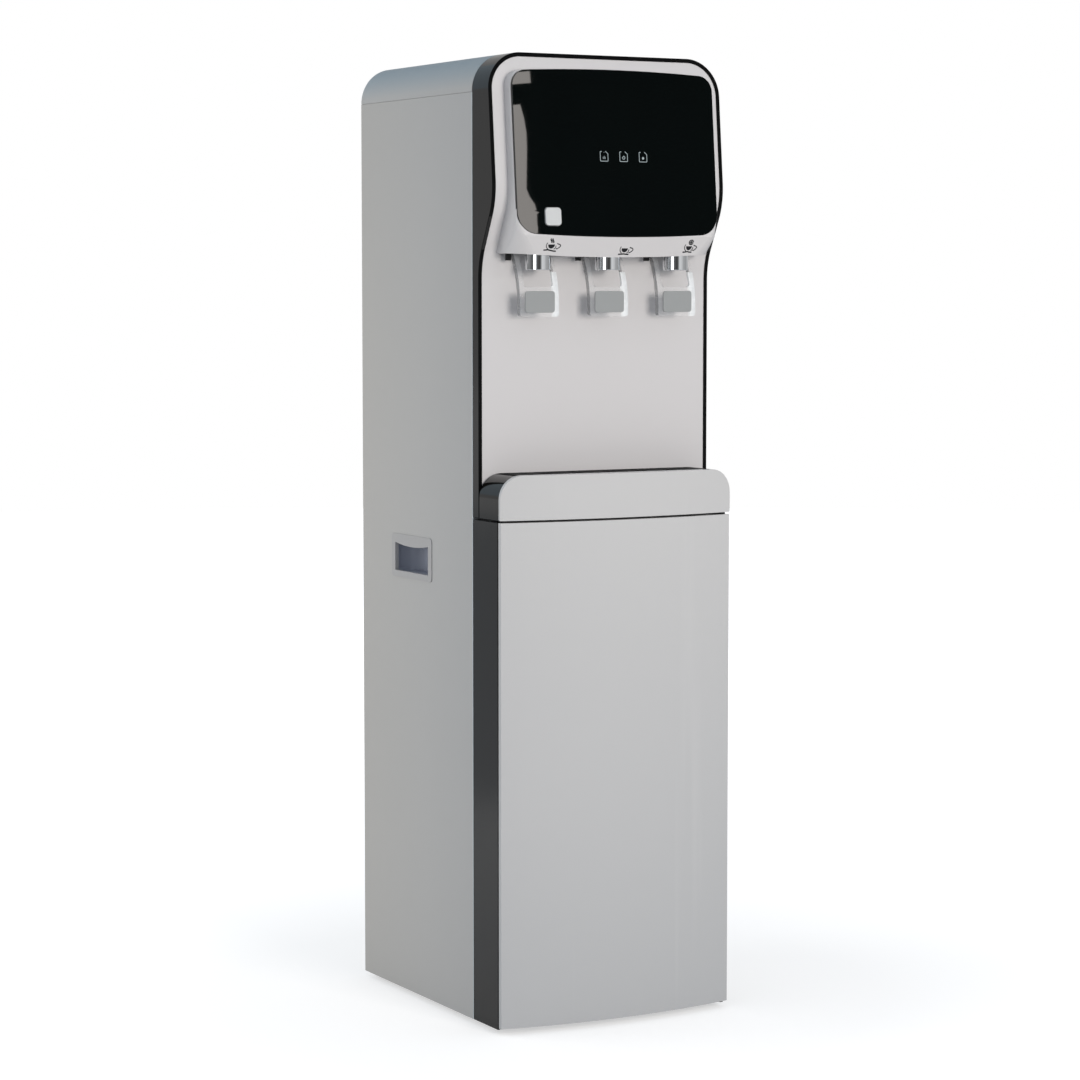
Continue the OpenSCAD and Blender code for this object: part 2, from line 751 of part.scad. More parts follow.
module inlet_fitting() {
    color([0.9, 0.9, 0.9]) placed() translate([inlet_x, back_y, inlet_z]) rotate([-90, 0, 0])
        difference() {
            union() {
                translate([0, 0, -20]) cylinder(h = 28, r = 8.5);
                cylinder(h = 4, r = 13, $fn = 6);
                translate([0, 0, -7.2]) cylinder(h = 6, r = 12, $fn = 6);
                cylinder(h = 10.5, r = 6);
            }
            translate([0, 0, 10.5 - inlet_l]) cylinder(h = inlet_l + 1, r = inlet_r);
        }
}

module solenoid_valve() {
    color([0.85, 0.85, 0.82]) placed() {
        box(inlet_x - 15, inlet_x + 15, valve_y - 14, valve_y + 14, inlet_z - 9, inlet_z + 9);
        translate([inlet_x, valve_y, inlet_z + 9]) cylinder(h = 34, r = 13);
        translate([inlet_x, valve_y, inlet_z + 15]) cylinder(h = 22, r = 17);
        box(inlet_x - 27, inlet_x + 14, valve_y - 24, valve_y + 24, 1.5, 3.5);
        for (y = [valve_y - 10, valve_y + 10])
            box(inlet_x - 5, inlet_x + 5, y - 3, y + 3, 3.5, inlet_z - 9);
    }
}

module water_tubes() {
    riser_y = plate_y + 10;
    top_y = filter_y + 49;
    pipe_z = deck_z - 39;
    tap_z = pivot_z + 23;
    feed_y = comp_y + 38;
    color([0.55, 0.72, 0.9]) placed() {
        tube([[inlet_x, back_y - 20.4, inlet_z], [inlet_x, valve_y + 14.5, inlet_z]], 3.2);
        tube([[inlet_x, valve_y - 14.5, inlet_z], [inlet_x, riser_y, inlet_z],
              [-post_x, riser_y, inlet_z], [-post_x, riser_y, deck_z - 74],
              [-post_x, filter_y + 44, deck_z - 74], [-post_x, filter_y + 44, pipe_z],
              [-post_x, filter_y, pipe_z], [21.5 - hw, filter_y, pipe_z]], 3.2);
        tube([[hw - 21.5, filter_y, pipe_z], [post_x, filter_y, pipe_z], [post_x, top_y, pipe_z],
              [post_x, top_y, deck_z - 10], [20, top_y, deck_z - 10], [20, feed_y, deck_z - 10],
              [20, feed_y, res_z0 - 6], [20, feed_y, res_z0]], 3.2);
        tube([[cold_x, tank_y, deck_z + foam_h + 4], [cold_x, tank_y, deck_z + foam_h + 23],
              [cold_x, 110, deck_z + foam_h + 23], [cold_x, 110, tap_z],
              [-tap_pitch, 70, tap_z], [-tap_pitch, 37.5, tap_z]], 3.2);
        tube([[hot_x, tank_y, tank_z + tank_h - 15], [hot_x, tank_y, tank_z + tank_h + 41],
              [hot_x, 110, tank_z + tank_h + 41], [hot_x, 110, tap_z],
              [tap_pitch, 70, tap_z], [tap_pitch, 37.5, tap_z]], 3.2);
        tube([[0, 110, res_z0], [0, 110, tap_z - 5], [0, 37.5, tap_z - 5]], 3.2);
    }
}

// Closed upright tank with domed ends, wall w
module tank(r, h, w) {
    difference() {
        rotate_extrude($fn = 64) polygon(concat([[0, 0]], arc([r - 14, 14], 14, -90, 0, 8),
            arc([r - 14, h - 14], 14, 0, 90, 8), [[0, h]]));
        translate([0, 0, w]) rotate_extrude($fn = 64) polygon(concat([[0, 0]],
            arc([r - 14, 14 - w], 14 - w, -90, 0, 8),
            arc([r - 14, h - 14 - w], 14 - w, 0, 90, 8), [[0, h - 2 * w]]));
    }
}

module cold_tank() {
    color([0.78, 0.79, 0.8]) placed() translate([cold_x, tank_y, tank_z])
        tank(foam_r - 19, tank_h, 1.5);
}

module cold_tank_insulation() {
    color([0.93, 0.93, 0.9]) placed() translate([cold_x, tank_y, deck_z + 1.5]) difference() {
        cylinder(h = foam_h, r = foam_r);
        translate([0, 0, 28]) cylinder(h = tank_h + 1.5, r = foam_r - 13);
        translate([0, 0, foam_h - 22]) cylinder(h = 30, r = 4);
    }
}

module evaporator_coil() {
    // as many turns as fit with 13.5 mm or a little more from one to the next
    turns = max(1, floor((tank_h - 90) / 13.5));
    coil_r = foam_r - 16.1;
    pitch = (tank_h - 90) / turns;
    color([0.72, 0.45, 0.3]) placed() translate([cold_x, tank_y, tank_z + 40])
        for (i = [0:turns - 1]) translate([0, 0, i * pitch])
            rotate_extrude($fn = 48) translate([coil_r, 0]) circle(r = 2.6, $fn = 16);
    color([0.72, 0.45, 0.3]) placed() translate([cold_x, tank_y + coil_r, tank_z + 36])
        cylinder(h = turns * pitch - 6, r = 2.6);
}

module hot_tank() {
    color([0.75, 0.76, 0.77]) placed() {
        translate([hot_x, tank_y, tank_z + 10]) tank(46, tank_h - 30, 1.5);
        // straps every 90 mm below and above the thermostats, as far as the wall is straight
        for (z = [for (z = [thermo_z - 52.5:-90:tank_z + 24]) z,
                  for (z = [thermo_z + 37.5:90:tank_z + tank_h - 48]) z])
            translate([hot_x, tank_y, z]) difference() {
            cylinder(h = 14, r = 48);
            translate([0, 0, -1]) cylinder(h = 16, r = 46);
        }
        for (a = [45:90:315]) translate([hot_x + 38 * cos(a), tank_y + 38 * sin(a), deck_z + 1.5])
            cylinder(h = 62, r = 4);
    }
}

module thermostats() {
    color([0.85, 0.83, 0.78]) placed()
        for (z = [-12.5, 12.5]) translate([hot_x, tank_y - 46, thermo_z + z]) rotate([90, 0, 0]) {
            cylinder(h = 4, r = 8);
            translate([0, 0, 4]) cylinder(h = 6, r = 7);
        }
}

module reservoir_tank() {
    color([0.86, 0.9, 0.93]) placed() difference() {
        box(-res_x, res_x, res_y0, res_y1, res_z0, res_z1);
        box(3 - res_x, res_x - 3, res_y0 + 3, res_y1 - 3, res_z0 + 3, res_z1 + 1);
        translate([20, comp_y + 38, res_z0 - 1]) cylinder(h = 6, r = 3.4);
        translate([0, 110, res_z0 - 1]) cylinder(h = 6, r = 3.4);
    }
}

module reservoir_stand() {
    color([0.75, 0.76, 0.77]) placed() for (y = [res_y0 + 14, res_y1 - 6]) {
        box(-post_x - 6, post_x + 6, y - 6, y + 6, res_z0 - 3, res_z0);
        for (x = [-post_x, post_x]) translate([x, y, deck_z + 1.5])
            cylinder(h = res_z0 - 4 - deck_z, r = 5);
    }
}

module reservoir_lid() {
    color([0.92, 0.92, 0.92]) placed()
        box(-res_x - 2, res_x + 2, res_y0 - 2, res_y1 + 2, res_z1, res_z1 + 3);
}

module float_valve() {
    color([0.9, 0.9, 0.9]) placed() {
        box(52, 68, res_y1 - 35, res_y1 - 3, res_z1 - 45, res_z1 - 33);
        translate([57, res_y1 - 120, res_z1 - 41]) cube([6, 90, 4]);
        translate([60, res_y1 - 130, res_z1 - 65]) cylinder(h = 28, r = 18);
    }
}

// ---- cooling ----

module compressor() {
    color([0.1, 0.1, 0.1]) placed() translate([0, comp_y, 0]) {
        rotate_extrude($fn = 64) polygon(concat([[0, 34]], arc([40, 46], 12, -90, 0, 6),
            [[52, 95], [54, 95], [54, 101], [52, 101]], arc([28, 140], 24, 0, 90, 10), [[0, 164]]));
        difference() {
            translate([-75, -54, 29]) cube([150, 100, 3]);
            for (x = mount_xs, y = mount_ys)
                translate([x, y - comp_y, 28]) cylinder(h = 5, r = 5);
        }
        translate([0, 0, 31]) cylinder(h = 6, r = 40);
        translate([44, -18, 70]) cube([22, 36, 40]);
        translate([-30, 25, 150]) cylinder(h = 25, r = 3.5);
    }
}

module compressor_mounts() {
    color([0.2, 0.2, 0.2]) placed()
        for (x = mount_xs, y = mount_ys) translate([x, y, 0]) {
            translate([0, 0, 1.5]) cylinder(h = 27.5, r = 9);
            translate([0, 0, 29]) cylinder(h = 5, r = 4.9);
            translate([0, 0, 32]) cylinder(h = 4, r = 8);
        }
}

module condenser_coil() {
    rows = 11;
    pitch = 22;
    color([0.13, 0.13, 0.13]) placed() translate([0, coil_y, 255]) {
        for (i = [0:rows - 1]) translate([-90, 0, i * pitch]) rotate([0, 90, 0])
            cylinder(h = 180, r = 2.4, $fn = 20);
        for (i = [0:rows - 2]) translate([i % 2 == 0 ? 90 : -90, 0, (i + 0.5) * pitch])
            rotate([90, i % 2 == 0 ? 0 : 180, 0]) intersection() {
                rotate_extrude($fn = 40) translate([pitch / 2, 0]) circle(r = 2.4, $fn = 20);
                translate([0, -20, -5]) cube([20, 40, 10]);
            }
        for (x = [-84:12:84]) translate([x, -2.9, -8])
            cylinder(h = rows * pitch - 6, r = 0.9, $fn = 16);
        for (x = [-78, 78], z = [0, (rows - 1) * pitch])
            translate([x - 4, 0, z - 3]) cube([8, back_y - 1.2 - coil_y, 6]);
    }
}

module filter_drier() {
    color([0.72, 0.45, 0.3]) placed() translate([-90, coil_y, 140.6])
        rotate_extrude($fn = 32) polygon([[0, 0], [3, 0], [3, 14], [10, 26], [10, 84], [3, 96],
                                          [3, 112], [0, 112]]);
}

// ---- rear connections ----

module power_inlet() {
    color([0.08, 0.08, 0.08]) placed() {
        difference() {
            union() {
                box(50.3, 97.7, back_y - 22, back_y + 0.01, 71.3, 98.7);
                along_y(back_y, back_y + 2.5)
                    polygon(round_box(44, 66, 104, 104, 6, 6));
            }
            box(60.5, 87.5, back_y - 18, back_y + 4, 75.5, 94.5);
            for (x = [48, 100]) translate([x, back_y + 3, 85]) rotate([90, 0, 0]) cylinder(h = 6, r = 1.6);
        }
        for (p = [[67, 83], [81, 83], [74, 88]])
            box(p[0] - 1, p[0] + 1, back_y - 18, back_y - 5, p[1] - 2, p[1] + 2);
    }
}

// Rocker axis of the two rear switches
rocker_y = back_y - 3;
rocker_z = 160;
rocker_xs = [61, 87];
rocker_tilt = 9;

module switch_plate() {
    color([0.1, 0.1, 0.1]) placed() difference() {
        union() {
            along_y(back_y, back_y + 2) polygon(round_box(42, 140, 106, 180, 4, 4));
            box(46.3, 101.7, back_y - 16, back_y + 0.01, 144.3, 175.7);
        }
        for (x = rocker_xs) box(x - 9, x + 9, back_y - 14, back_y + 4, 147, 173);
    }
    color([0.1, 0.1, 0.1]) placed() for (x = rocker_xs)
        translate([x - 9.01, rocker_y, rocker_z]) rotate([0, 90, 0]) cylinder(h = 18.02, r = 1.5);
}

// Rocker resting in its "on" position
module rocker(x) {
    translate([x, rocker_y, rocker_z]) rotate([-rocker_tilt, 0, 0]) difference() {
        intersection() {
            translate([-8.6, -6, -11.6]) cube([17.2, 16, 23.2]);
            translate([-8.6, 32, 0]) rotate([0, 90, 0]) difference() {
                translate([0, 0, 0]) cylinder(h = 17.2, r = 60, $fn = 96);
                translate([0, 0, -1]) cylinder(h = 20, r = 27, $fn = 96);
            }
        }
        translate([-9, 0, 0]) rotate([0, 90, 0]) cylinder(h = 18, r = 1.5 + run);
    }
}

module hot_switch() { color([0.7, 0.1, 0.08]) placed() rocker(rocker_xs[0]); }

module cold_switch() { color([0.1, 0.5, 0.2]) placed() rocker(rocker_xs[1]); }

// ---- taps ----

module tap_valves() {
    color([0.2, 0.2, 0.2]) placed() for (x = tap_xs) difference() {
        union() {
            box(x - 14, x + 14, tap_y - 9, 36, pivot_z - 5, pivot_z + 25);
            translate([x, tap_y, spout_z + 23]) cylinder(h = 6, r = 12);
            translate([x, tap_y, pivot_z + 25]) cylinder(h = 12, r = 8);
            translate([x, 36, pivot_z + (x == 0 ? 18 : 23)]) rotate([-90, 0, 0])
                cylinder(h = 1.4, r = 5);
        }
        translate([x, tap_y, spout_z + 17]) cylinder(h = 20, r = spout_bore_r);
    }
}

module tap_brackets() {
    top = pivot_z + 11;
    color([0.07, 0.07, 0.07]) placed() for (x = tap_xs) {
        box(x - 32.2, x - 26, 34, 37, pivot_z - 23.3, top);
        box(x - bracket_l, x - 26, 34, 44, pivot_z - 12, top);
        box(x + 26, x + 29, 34, 44, pivot_z - 15, top);
        for (c = [[x - bracket_l, x - 26], [x + 26, x + 29]]) box(c[0], c[1], 44, 52, pivot_z - 5, top);
        box(x - bracket_l, x + 29, 49.5, 52, pivot_z - 5, top);
        box(x - bracket_l, x + 29, 36.8, 52, top - 3, top);
        box(x - 14, x - 8, 36, 37, top - 3, top);
        translate([x - 26.5, pivot_y, pivot_z]) rotate([0, 90, 0]) cylinder(h = 53, r = pin_r);
    }
}

module spouts() {
    color([0.8, 0.81, 0.82]) placed() for (x = tap_xs) translate([x, tap_y, spout_z]) difference() {
        cylinder(h = 23, r = spout_r, $fn = 96);
        translate([0, 0, -1]) cylinder(h = 25, r = spout_bore_r);
        translate([0, 0, -1]) difference() {
            cylinder(h = 4, r = spout_r - 2);
            cylinder(h = 5, r = 6);
        }
    }
}

// Curved strip in side view between two radii, from the lower edge up to z1
module lever_strip(r_in, r_out, z1) {
    intersection() {
        union() {
            difference() {
                translate([curve_y, lever_z]) circle(r = r_out, $fn = 240);
                translate([curve_y, lever_z]) circle(r = r_in, $fn = 240);
                translate([-100, lever_z - 400]) square([600, 400]);
            }
            translate([curve_y - r_out, lever_z0]) square([r_out - r_in, lever_z - lever_z0 + 0.1]);
        }
        translate([lever_y - 1, lever_z0]) square([40, z1 - lever_z0]);
    }
}

module lever(x) {
    hwl = lever_w / 2;
    translate([x, 0, 0]) difference() {
        union() {
            intersection() {
                along_x(-hwl, hwl) lever_strip(lever_r - lever_t, lever_r, pivot_z - 1);
                along_y(0, 80) polygon(round_box(-hwl, lever_z0, hwl, pivot_z + 13, 3.5, 1));
            }
            for (s = [-1, 1]) intersection() {
                along_x(s * (hwl - 1.1) - 1.1, s * (hwl - 1.1) + 1.1)
                    lever_strip(lever_r - 6.5, lever_r, pivot_z - 12);
                along_y(0, 80) polygon(round_box(-hwl, lever_z0, hwl, pivot_z + 13, 3.5, 1));
            }
            translate([-hwl, pivot_y, pivot_z]) rotate([0, 90, 0]) cylinder(h = lever_w, r = 4.2);
        }
        along_y(0, 38)
            polygon(round_box(-hwl + arm_w, lever_z0 + 33, hwl - arm_w, pivot_z + 33, 4, 1));
        translate([-hwl - 1, pivot_y, pivot_z]) rotate([0, 90, 0])
            cylinder(h = lever_w + 2, r = pin_r + run);
    }
}

module lever_pad(x) {
    translate([x, 0, 0]) along_y(lever_y - 1.5, lever_y)
        polygon(round_box(-18.8, lever_z0 + 4.6, 18.8, lever_z0 + 28.6, 3.2, 3.2));
}

module hot_lever() { color([0.9, 0.92, 0.94, 0.5]) placed() lever(-tap_pitch); }

module ambient_lever() { color([0.9, 0.92, 0.94, 0.5]) placed() lever(0); }

module cold_lever() { color([0.9, 0.92, 0.94, 0.5]) placed() lever(tap_pitch); }

module hot_pad() { color([0.62, 0.63, 0.62]) placed() lever_pad(-tap_pitch); }

module ambient_pad() { color([0.62, 0.63, 0.62]) placed() lever_pad(0); }

module cold_pad() { color([0.62, 0.63, 0.62]) placed() lever_pad(tap_pitch); }

base_plate();
feet();
left_side_panel();
right_side_panel();
back_panel();
back_screws();
top_cover();
upper_bezel();
front_fascia();
control_panel();
safety_button();
control_board();
left_grip();
right_grip();
tray_housing();
tray_cover();
drip_tray();
drip_grille();
door_panel();
door_frame();
door_strike();
door_hinges();
door_magnet();
left_lower_trim();
right_lower_trim();
partition_plate();
tank_deck();
filter_manifold();
sediment_filter();
carbon_filter();
membrane_filter();
inlet_fitting();
solenoid_valve();
water_tubes();
cold_tank();
cold_tank_insulation();
evaporator_coil();
hot_tank();
thermostats();
reservoir_stand();
reservoir_tank();
reservoir_lid();
float_valve();
compressor();
compressor_mounts();
condenser_coil();
filter_drier();
power_inlet();
switch_plate();
hot_switch();
cold_switch();
tap_valves();
tap_brackets();
spouts();
hot_lever();
ambient_lever();
cold_lever();
hot_pad();
ambient_pad();
cold_pad();
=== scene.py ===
import json
import math

import bmesh
import bpy
from mathutils import Matrix, Vector


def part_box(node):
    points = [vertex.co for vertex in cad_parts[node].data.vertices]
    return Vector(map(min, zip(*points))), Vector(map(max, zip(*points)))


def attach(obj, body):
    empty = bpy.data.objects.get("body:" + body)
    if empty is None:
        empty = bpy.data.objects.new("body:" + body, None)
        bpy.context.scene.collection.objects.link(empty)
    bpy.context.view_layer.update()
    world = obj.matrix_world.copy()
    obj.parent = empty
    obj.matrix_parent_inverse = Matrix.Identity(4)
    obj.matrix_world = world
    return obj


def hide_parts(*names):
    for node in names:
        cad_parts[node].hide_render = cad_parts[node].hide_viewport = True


bl_info = {
    "name": "Water Dispenser",
    "version": (1, 0, 0),
    "blender": (4, 5, 0),
    "location": "3D View > Sidebar > Dispenser",
    "description": "Finishes, fittings and studio for a floor-standing water dispenser",
    "category": "Object",
}

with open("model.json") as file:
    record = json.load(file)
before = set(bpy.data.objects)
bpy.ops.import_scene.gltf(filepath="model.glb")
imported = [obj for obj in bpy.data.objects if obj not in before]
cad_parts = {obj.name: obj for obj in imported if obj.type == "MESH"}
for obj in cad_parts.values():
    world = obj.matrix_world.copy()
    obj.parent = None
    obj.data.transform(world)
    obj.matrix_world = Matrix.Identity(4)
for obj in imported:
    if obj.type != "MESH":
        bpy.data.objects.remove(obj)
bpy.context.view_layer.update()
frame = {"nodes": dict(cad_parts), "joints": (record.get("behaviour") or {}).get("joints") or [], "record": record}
NODES = frame["nodes"]
BODY_OF = {n: b for b, members in frame["record"]["behaviour"]["bodies"].items() for n in members}

MM = 0.001

# ---- places taken from the solids ----

PRESS = Vector(next(j["axis"] for j in frame["joints"] if j["name"] == "safety_button_press"))
PANEL_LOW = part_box("control_panel")[0]
PANEL_LEAN = math.atan2(-PRESS.z, PRESS.y)
PANEL_SHEET = 3 * MM  # thickness of the control panel
PANEL_FOOT = Vector((0, PANEL_LOW.y, PANEL_LOW.z + PANEL_SHEET * math.sin(PANEL_LEAN)))
PANEL_UP = Vector((0, math.sin(PANEL_LEAN), math.cos(PANEL_LEAN)))
PANEL_SEAT = Vector((0, 0.1 * MM, 1 * MM))  # from the panel's foot to the chin's upper edge
CHIN_DEPTH, CHIN_HEIGHT = 10.8 * MM, 24.6 * MM
CHIN_TOP = PANEL_FOOT + PANEL_SEAT
CHIN_FOOT = Vector((0, CHIN_TOP.y + CHIN_DEPTH, CHIN_TOP.z - CHIN_HEIGHT))
RIGHT = Vector((1, 0, 0))

TAPS = ("hot", "ambient", "cold")
LEVER_BEND = 50 * MM  # from a lever's foot up to its bend
LEVER_ARM = 0.016  # an edge farther than this from a lever's middle is an arm's; on the right arm it takes a painted highlight
PAINTED_HIGHLIGHT_FROM = 0.0172  # from a lever's middle to where the painted highlight on its right arm begins
GRIP_FRAME = 4.5 * MM  # how deep a grip's frame goes before its pocket
RING_DROP, RING_WIDTH = 70 * MM, 9 * MM  # printed ring under a cartridge's top
ON_FACE = 0.1 * MM  # nearer than this is on the face
SYMBOL_MIDDLE = 9.1 * MM  # how far right the middle one of the lit symbols is
TOUCHING = 1e-6  # points nearer than this are one
SYMBOL_LIFT = 0.02 * MM  # lit symbols over the panel
SYMBOL_THICK, INK_THICK = 0.12 * MM, 0.16 * MM
CUP_PLACES = (  # each cup's place to the right, and up the chin from its foot
    ("hot", -85.1 * MM, 13.8 * MM),
    ("ambient", 9.9 * MM, 9.7 * MM),
    ("cold", 93.7 * MM, 12.8 * MM),
)

# colours of the lesser parts
BLACK_PLASTIC = (0.012, 0.012, 0.012)
WHITE_PLASTIC = (0.66, 0.66, 0.65)
STEEL = (0.6, 0.61, 0.62)
ENAMEL = (0.01, 0.01, 0.01)


# ---- shader arithmetic ----


def adds(operation, reflected=False):
    """A method that adds one Math node, with its two values the other way round if reflected."""

    def method(self, other=0.0):
        first, second = (other, self) if reflected else (self, other)
        return self.math(operation, first, second)

    return method


class Value:
    """A socket of a node tree; arithmetic on it adds Math nodes."""

    def __init__(self, nodes, socket):
        self.nodes = nodes
        self.socket = socket

    def math(self, operation, first, second):
        return self.nodes.node("ShaderNodeMath", {"operation": operation}, {0: first, 1: second})

    __add__ = __radd__ = adds("ADD")
    __sub__ = adds("SUBTRACT")
    __rsub__ = adds("SUBTRACT", reflected=True)
    __mul__ = __rmul__ = adds("MULTIPLY")
    __truediv__ = adds("DIVIDE")
    __rtruediv__ = adds("DIVIDE", reflected=True)
    __gt__ = adds("GREATER_THAN")
    __lt__ = adds("LESS_THAN")
    __pow__ = adds("POWER")
    __abs__ = adds("ABSOLUTE")
    __or__ = adds("MAXIMUM")  # as where one mask or another holds

    def __neg__(self):
        return self * -1.0

    def between(self, low, high):
        """Map 0..1 to low..high."""
        return self * (high - low) + low


class Nodes:
    """A node tree and the one way in which nodes are added to it."""

    def __init__(self, tree):
        self.tree = tree

    def node(self, kind, settings=None, inputs=None, output=0):
        """Add a node: its settings first, then the values or links of its sockets."""
        made = self.tree.nodes.new(kind)
        for key, value in (settings or {}).items():
            if key == "stops":
                while len(made.color_ramp.elements) < len(value):
                    made.color_ramp.elements.new(1.0)
                for stop, (position, colour) in zip(made.color_ramp.elements, value):
                    stop.position = position
                    stop.color = (*colour, 1.0)
            else:
                setattr(made, key, value)
        for key, value in (inputs or {}).items():
            self.link(made.inputs[key], value)
        return Value(self, made.outputs[output])

    def link(self, socket, value):
        if isinstance(value, Value):
            self.tree.links.new(value.socket, socket)
        elif socket.type == "RGBA":
            socket.default_value = (*value[:3], 1.0)
        else:
            socket.default_value = value

    def mix(self, factor, first, second, blend="MIX"):
        """Mix two colours."""
        return self.node("ShaderNodeMix", {"data_type": "RGBA", "blend_type": blend},
                         {0: factor, 6: first, 7: second}, 2)

    def ramp(self, value, *stops):
        """Colours or greys along a value."""
        stops = [(at, (c, c, c) if isinstance(c, (int, float)) else c) for at, c in stops]
        return self.node("ShaderNodeValToRGB", {"stops": stops}, {0: value})

    def ray(self, kind):
        """1 where light is followed along rays of that kind."""
        return self.node("ShaderNodeLightPath", output=kind)


def shade(colour, *factors):
    """The colour times one factor, or one for each channel, and no brighter than white."""
    return [min(1.0, c * k) for c, k in zip(colour, factors * 3)]


class Finish(Nodes):
    """A node material under construction, with one Principled shader at its end."""

    def __init__(self, name):
        self.material = bpy.data.materials.new(name)
        self.material.use_nodes = True
        super().__init__(self.material.node_tree)
        self.shader = self.tree.nodes["Principled BSDF"]
        self.place = self.node("ShaderNodeTexCoord", output="Object")

    def finished(self, **inputs):
        """The material, given values or links of its shader's sockets, with _ for each space."""
        for key, value in inputs.items():
            self.link(self.shader.inputs[key.replace("_", " ")], value)
        return self.material

    def noise(self, scale, detail, vector=None):
        """Cloudy grey, in patches of about 1 / scale metres."""
        return self.node("ShaderNodeTexNoise", {},
                         {"Vector": vector or self.place, "Scale": scale, "Detail": detail})

    def streaks(self, scale, detail, upright):
        """Cloudy grey drawn out up and down: the smaller the last number, the longer."""
        stretched = self.node("ShaderNodeMapping", {},
                              {"Vector": self.place, "Scale": (1.0, 1.0, upright)})
        return self.noise(scale, detail, stretched)

    def cells(self, scale, output="Distance"):
        """Packed cells of about 1 / scale metres."""
        return self.node("ShaderNodeTexVoronoi", {},
                         {"Vector": self.place, "Scale": scale}, output)

    def patchy(self, colour, patches, factor):
        """The colour, and its shade by a factor where the patches are."""
        return self.mix(patches, colour, shade(colour, factor))

    def bump(self, height, strength, distance):
        return self.node("ShaderNodeBump", {},
                         {"Height": height, "Strength": strength, "Distance": distance})

    def axis(self, name):
        """One object coordinate, in metres."""
        return self.node("ShaderNodeSeparateXYZ", {}, {0: self.place}, name)

    def rise(self, box):
        """0 at the foot of a solid's box and 1 at its top."""
        foot, top = (corner.z for corner in box)
        return (self.axis("Z") - foot) / (top - foot)


# ---- finishes ----


def satin_paint(name, colour, roughness):
    """Powder paint on sheet steel: fine orange peel over a slow change of tone."""
    f = Finish(name)
    tone = f.patchy(colour, f.noise(3.2, 3) * 0.30, 0.88)
    return f.finished(
        Base_Color=f.mix((f.cells(2600) < 0.16) * 0.10, tone, shade(colour, 1.25)),
        Roughness=f.noise(40, 3).between(roughness - 0.05, roughness + 0.07),
        Normal=f.bump(f.noise(1400, 2), 0.10, 0.0002))


def side_paint(name, colour):
    """The side panels' paint: fine peel, with painted shade, darker and cooler, to the front and painted warm
    light to the rear.
    """
    f = Finish(name)
    slow = f.streaks(2.4, 3, 0.4)
    # painted shade and light: darker and cooler to the front, warmer to the rear
    painted_light_front_to_rear = f.ramp(f.axis("Y") * 2.5 + 0.5, (0.22, (0.96, 0.97, 0.985)), (0.55, 1.0),
                           (0.95, (1.0, 0.985, 0.96)))
    tone = f.mix(1.0, colour, painted_light_front_to_rear, "MULTIPLY")
    tone = f.mix(slow * 0.16, tone, shade(colour, 0.88))
    return f.finished(
        Base_Color=f.mix((f.cells(2600) < 0.16) * 0.08, tone, shade(colour, 1.25)),
        Roughness=f.noise(40, 3).between(0.30, 0.42),
        Normal=f.bump(f.noise(1400, 2), 0.08, 0.0002))


def fold_paint(name, colour):
    """Thin, polished paint on the folded front edges of the side panels, lighter and bluer than the sides as a
    painted highlight.
    """
    f = Finish(name)
    worn = f.streaks(60, 3, 0.1)
    return f.finished(
        Base_Color=f.patchy(colour, worn, 1.25),
        Roughness=worn.between(0.12, 0.25),
        Normal=f.bump(f.noise(300, 2), 0.03, 0.0002))


def cover_moulding(name, low, high):
    """The top cover: matched to the side paint at its foot, and a painted bluish shade, darker and bluer, towards
    its crown.
    """
    f = Finish(name)
    # painted shade: from the side paint at the foot to the darker, bluer crown
    tone = f.mix(f.ramp(f.rise(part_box("top_cover")), (0.3, 0), (0.9, 1)), low, high)
    return f.finished(
        Base_Color=f.mix(f.noise(6, 3) * 0.08, tone, shade(high, 0.85)),
        Roughness=f.noise(70, 3).between(0.36, 0.46),
        Normal=f.bump(f.noise(9, 1), 0.01, 0.0005),
        Specular_IOR_Level=0.35)


def gloss_moulding(name, colour, roughness):
    """Gloss moulded plastic: slow flow waves, faint dust and tiny rub marks."""
    f = Finish(name)
    rub = f.streaks(90, 4, 0.15)
    dust = f.cells(700) < 0.06
    return f.finished(
        Base_Color=f.patchy(colour, f.noise(5, 2) * 0.14, 0.9),
        Roughness=rub.between(roughness - 0.03, roughness + 0.06) + dust * 0.12,
        Normal=f.bump(f.noise(22, 1), 0.04, 0.0006),
        IOR=1.5)


def fascia_moulding(name, colour):
    """White gloss moulding of the head and niche, a touch warmer low in the niche."""
    f = Finish(name)
    tone = f.mix(f.ramp(f.rise(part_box("front_fascia")), (0.05, 1), (0.7, 0)), colour,
                 shade(colour, 0.98, 0.97, 0.965))
    return f.finished(
        Base_Color=f.mix(f.noise(4, 2) * 0.10, tone, shade(colour, 0.92)),
        Roughness=f.noise(50, 3).between(0.16, 0.26),
        Normal=f.bump(f.noise(18, 1), 0.03, 0.0005),
        IOR=1.5)


def door_moulding(name, colour):
    """Smooth door moulding with faint upright flow lines, and painted shade, darker and cooler, at its foot."""
    f = Finish(name)
    flow = f.streaks(34, 3, 0.03)
    painted_shade_height = 0.62  # how far up, in metres, the painted shade at the foot goes
    # painted shade, darker and cooler towards the foot
    tone = f.mix(f.ramp(f.axis("Z") / painted_shade_height, (0.0, 1), (1.0, 0)), colour,
                 shade(colour, 0.86, 0.875, 0.89))
    tone = f.mix(f.ramp(flow, (0.62, 0), (0.82, 0.3)), tone, shade(colour, 1.12))
    return f.finished(
        Base_Color=f.mix(f.noise(5, 2) * 0.10, tone, shade(colour, 0.92)),
        Roughness=f.noise(50, 3).between(0.17, 0.27),
        Normal=f.bump(f.noise(16, 1), 0.025, 0.0005),
        IOR=1.5)


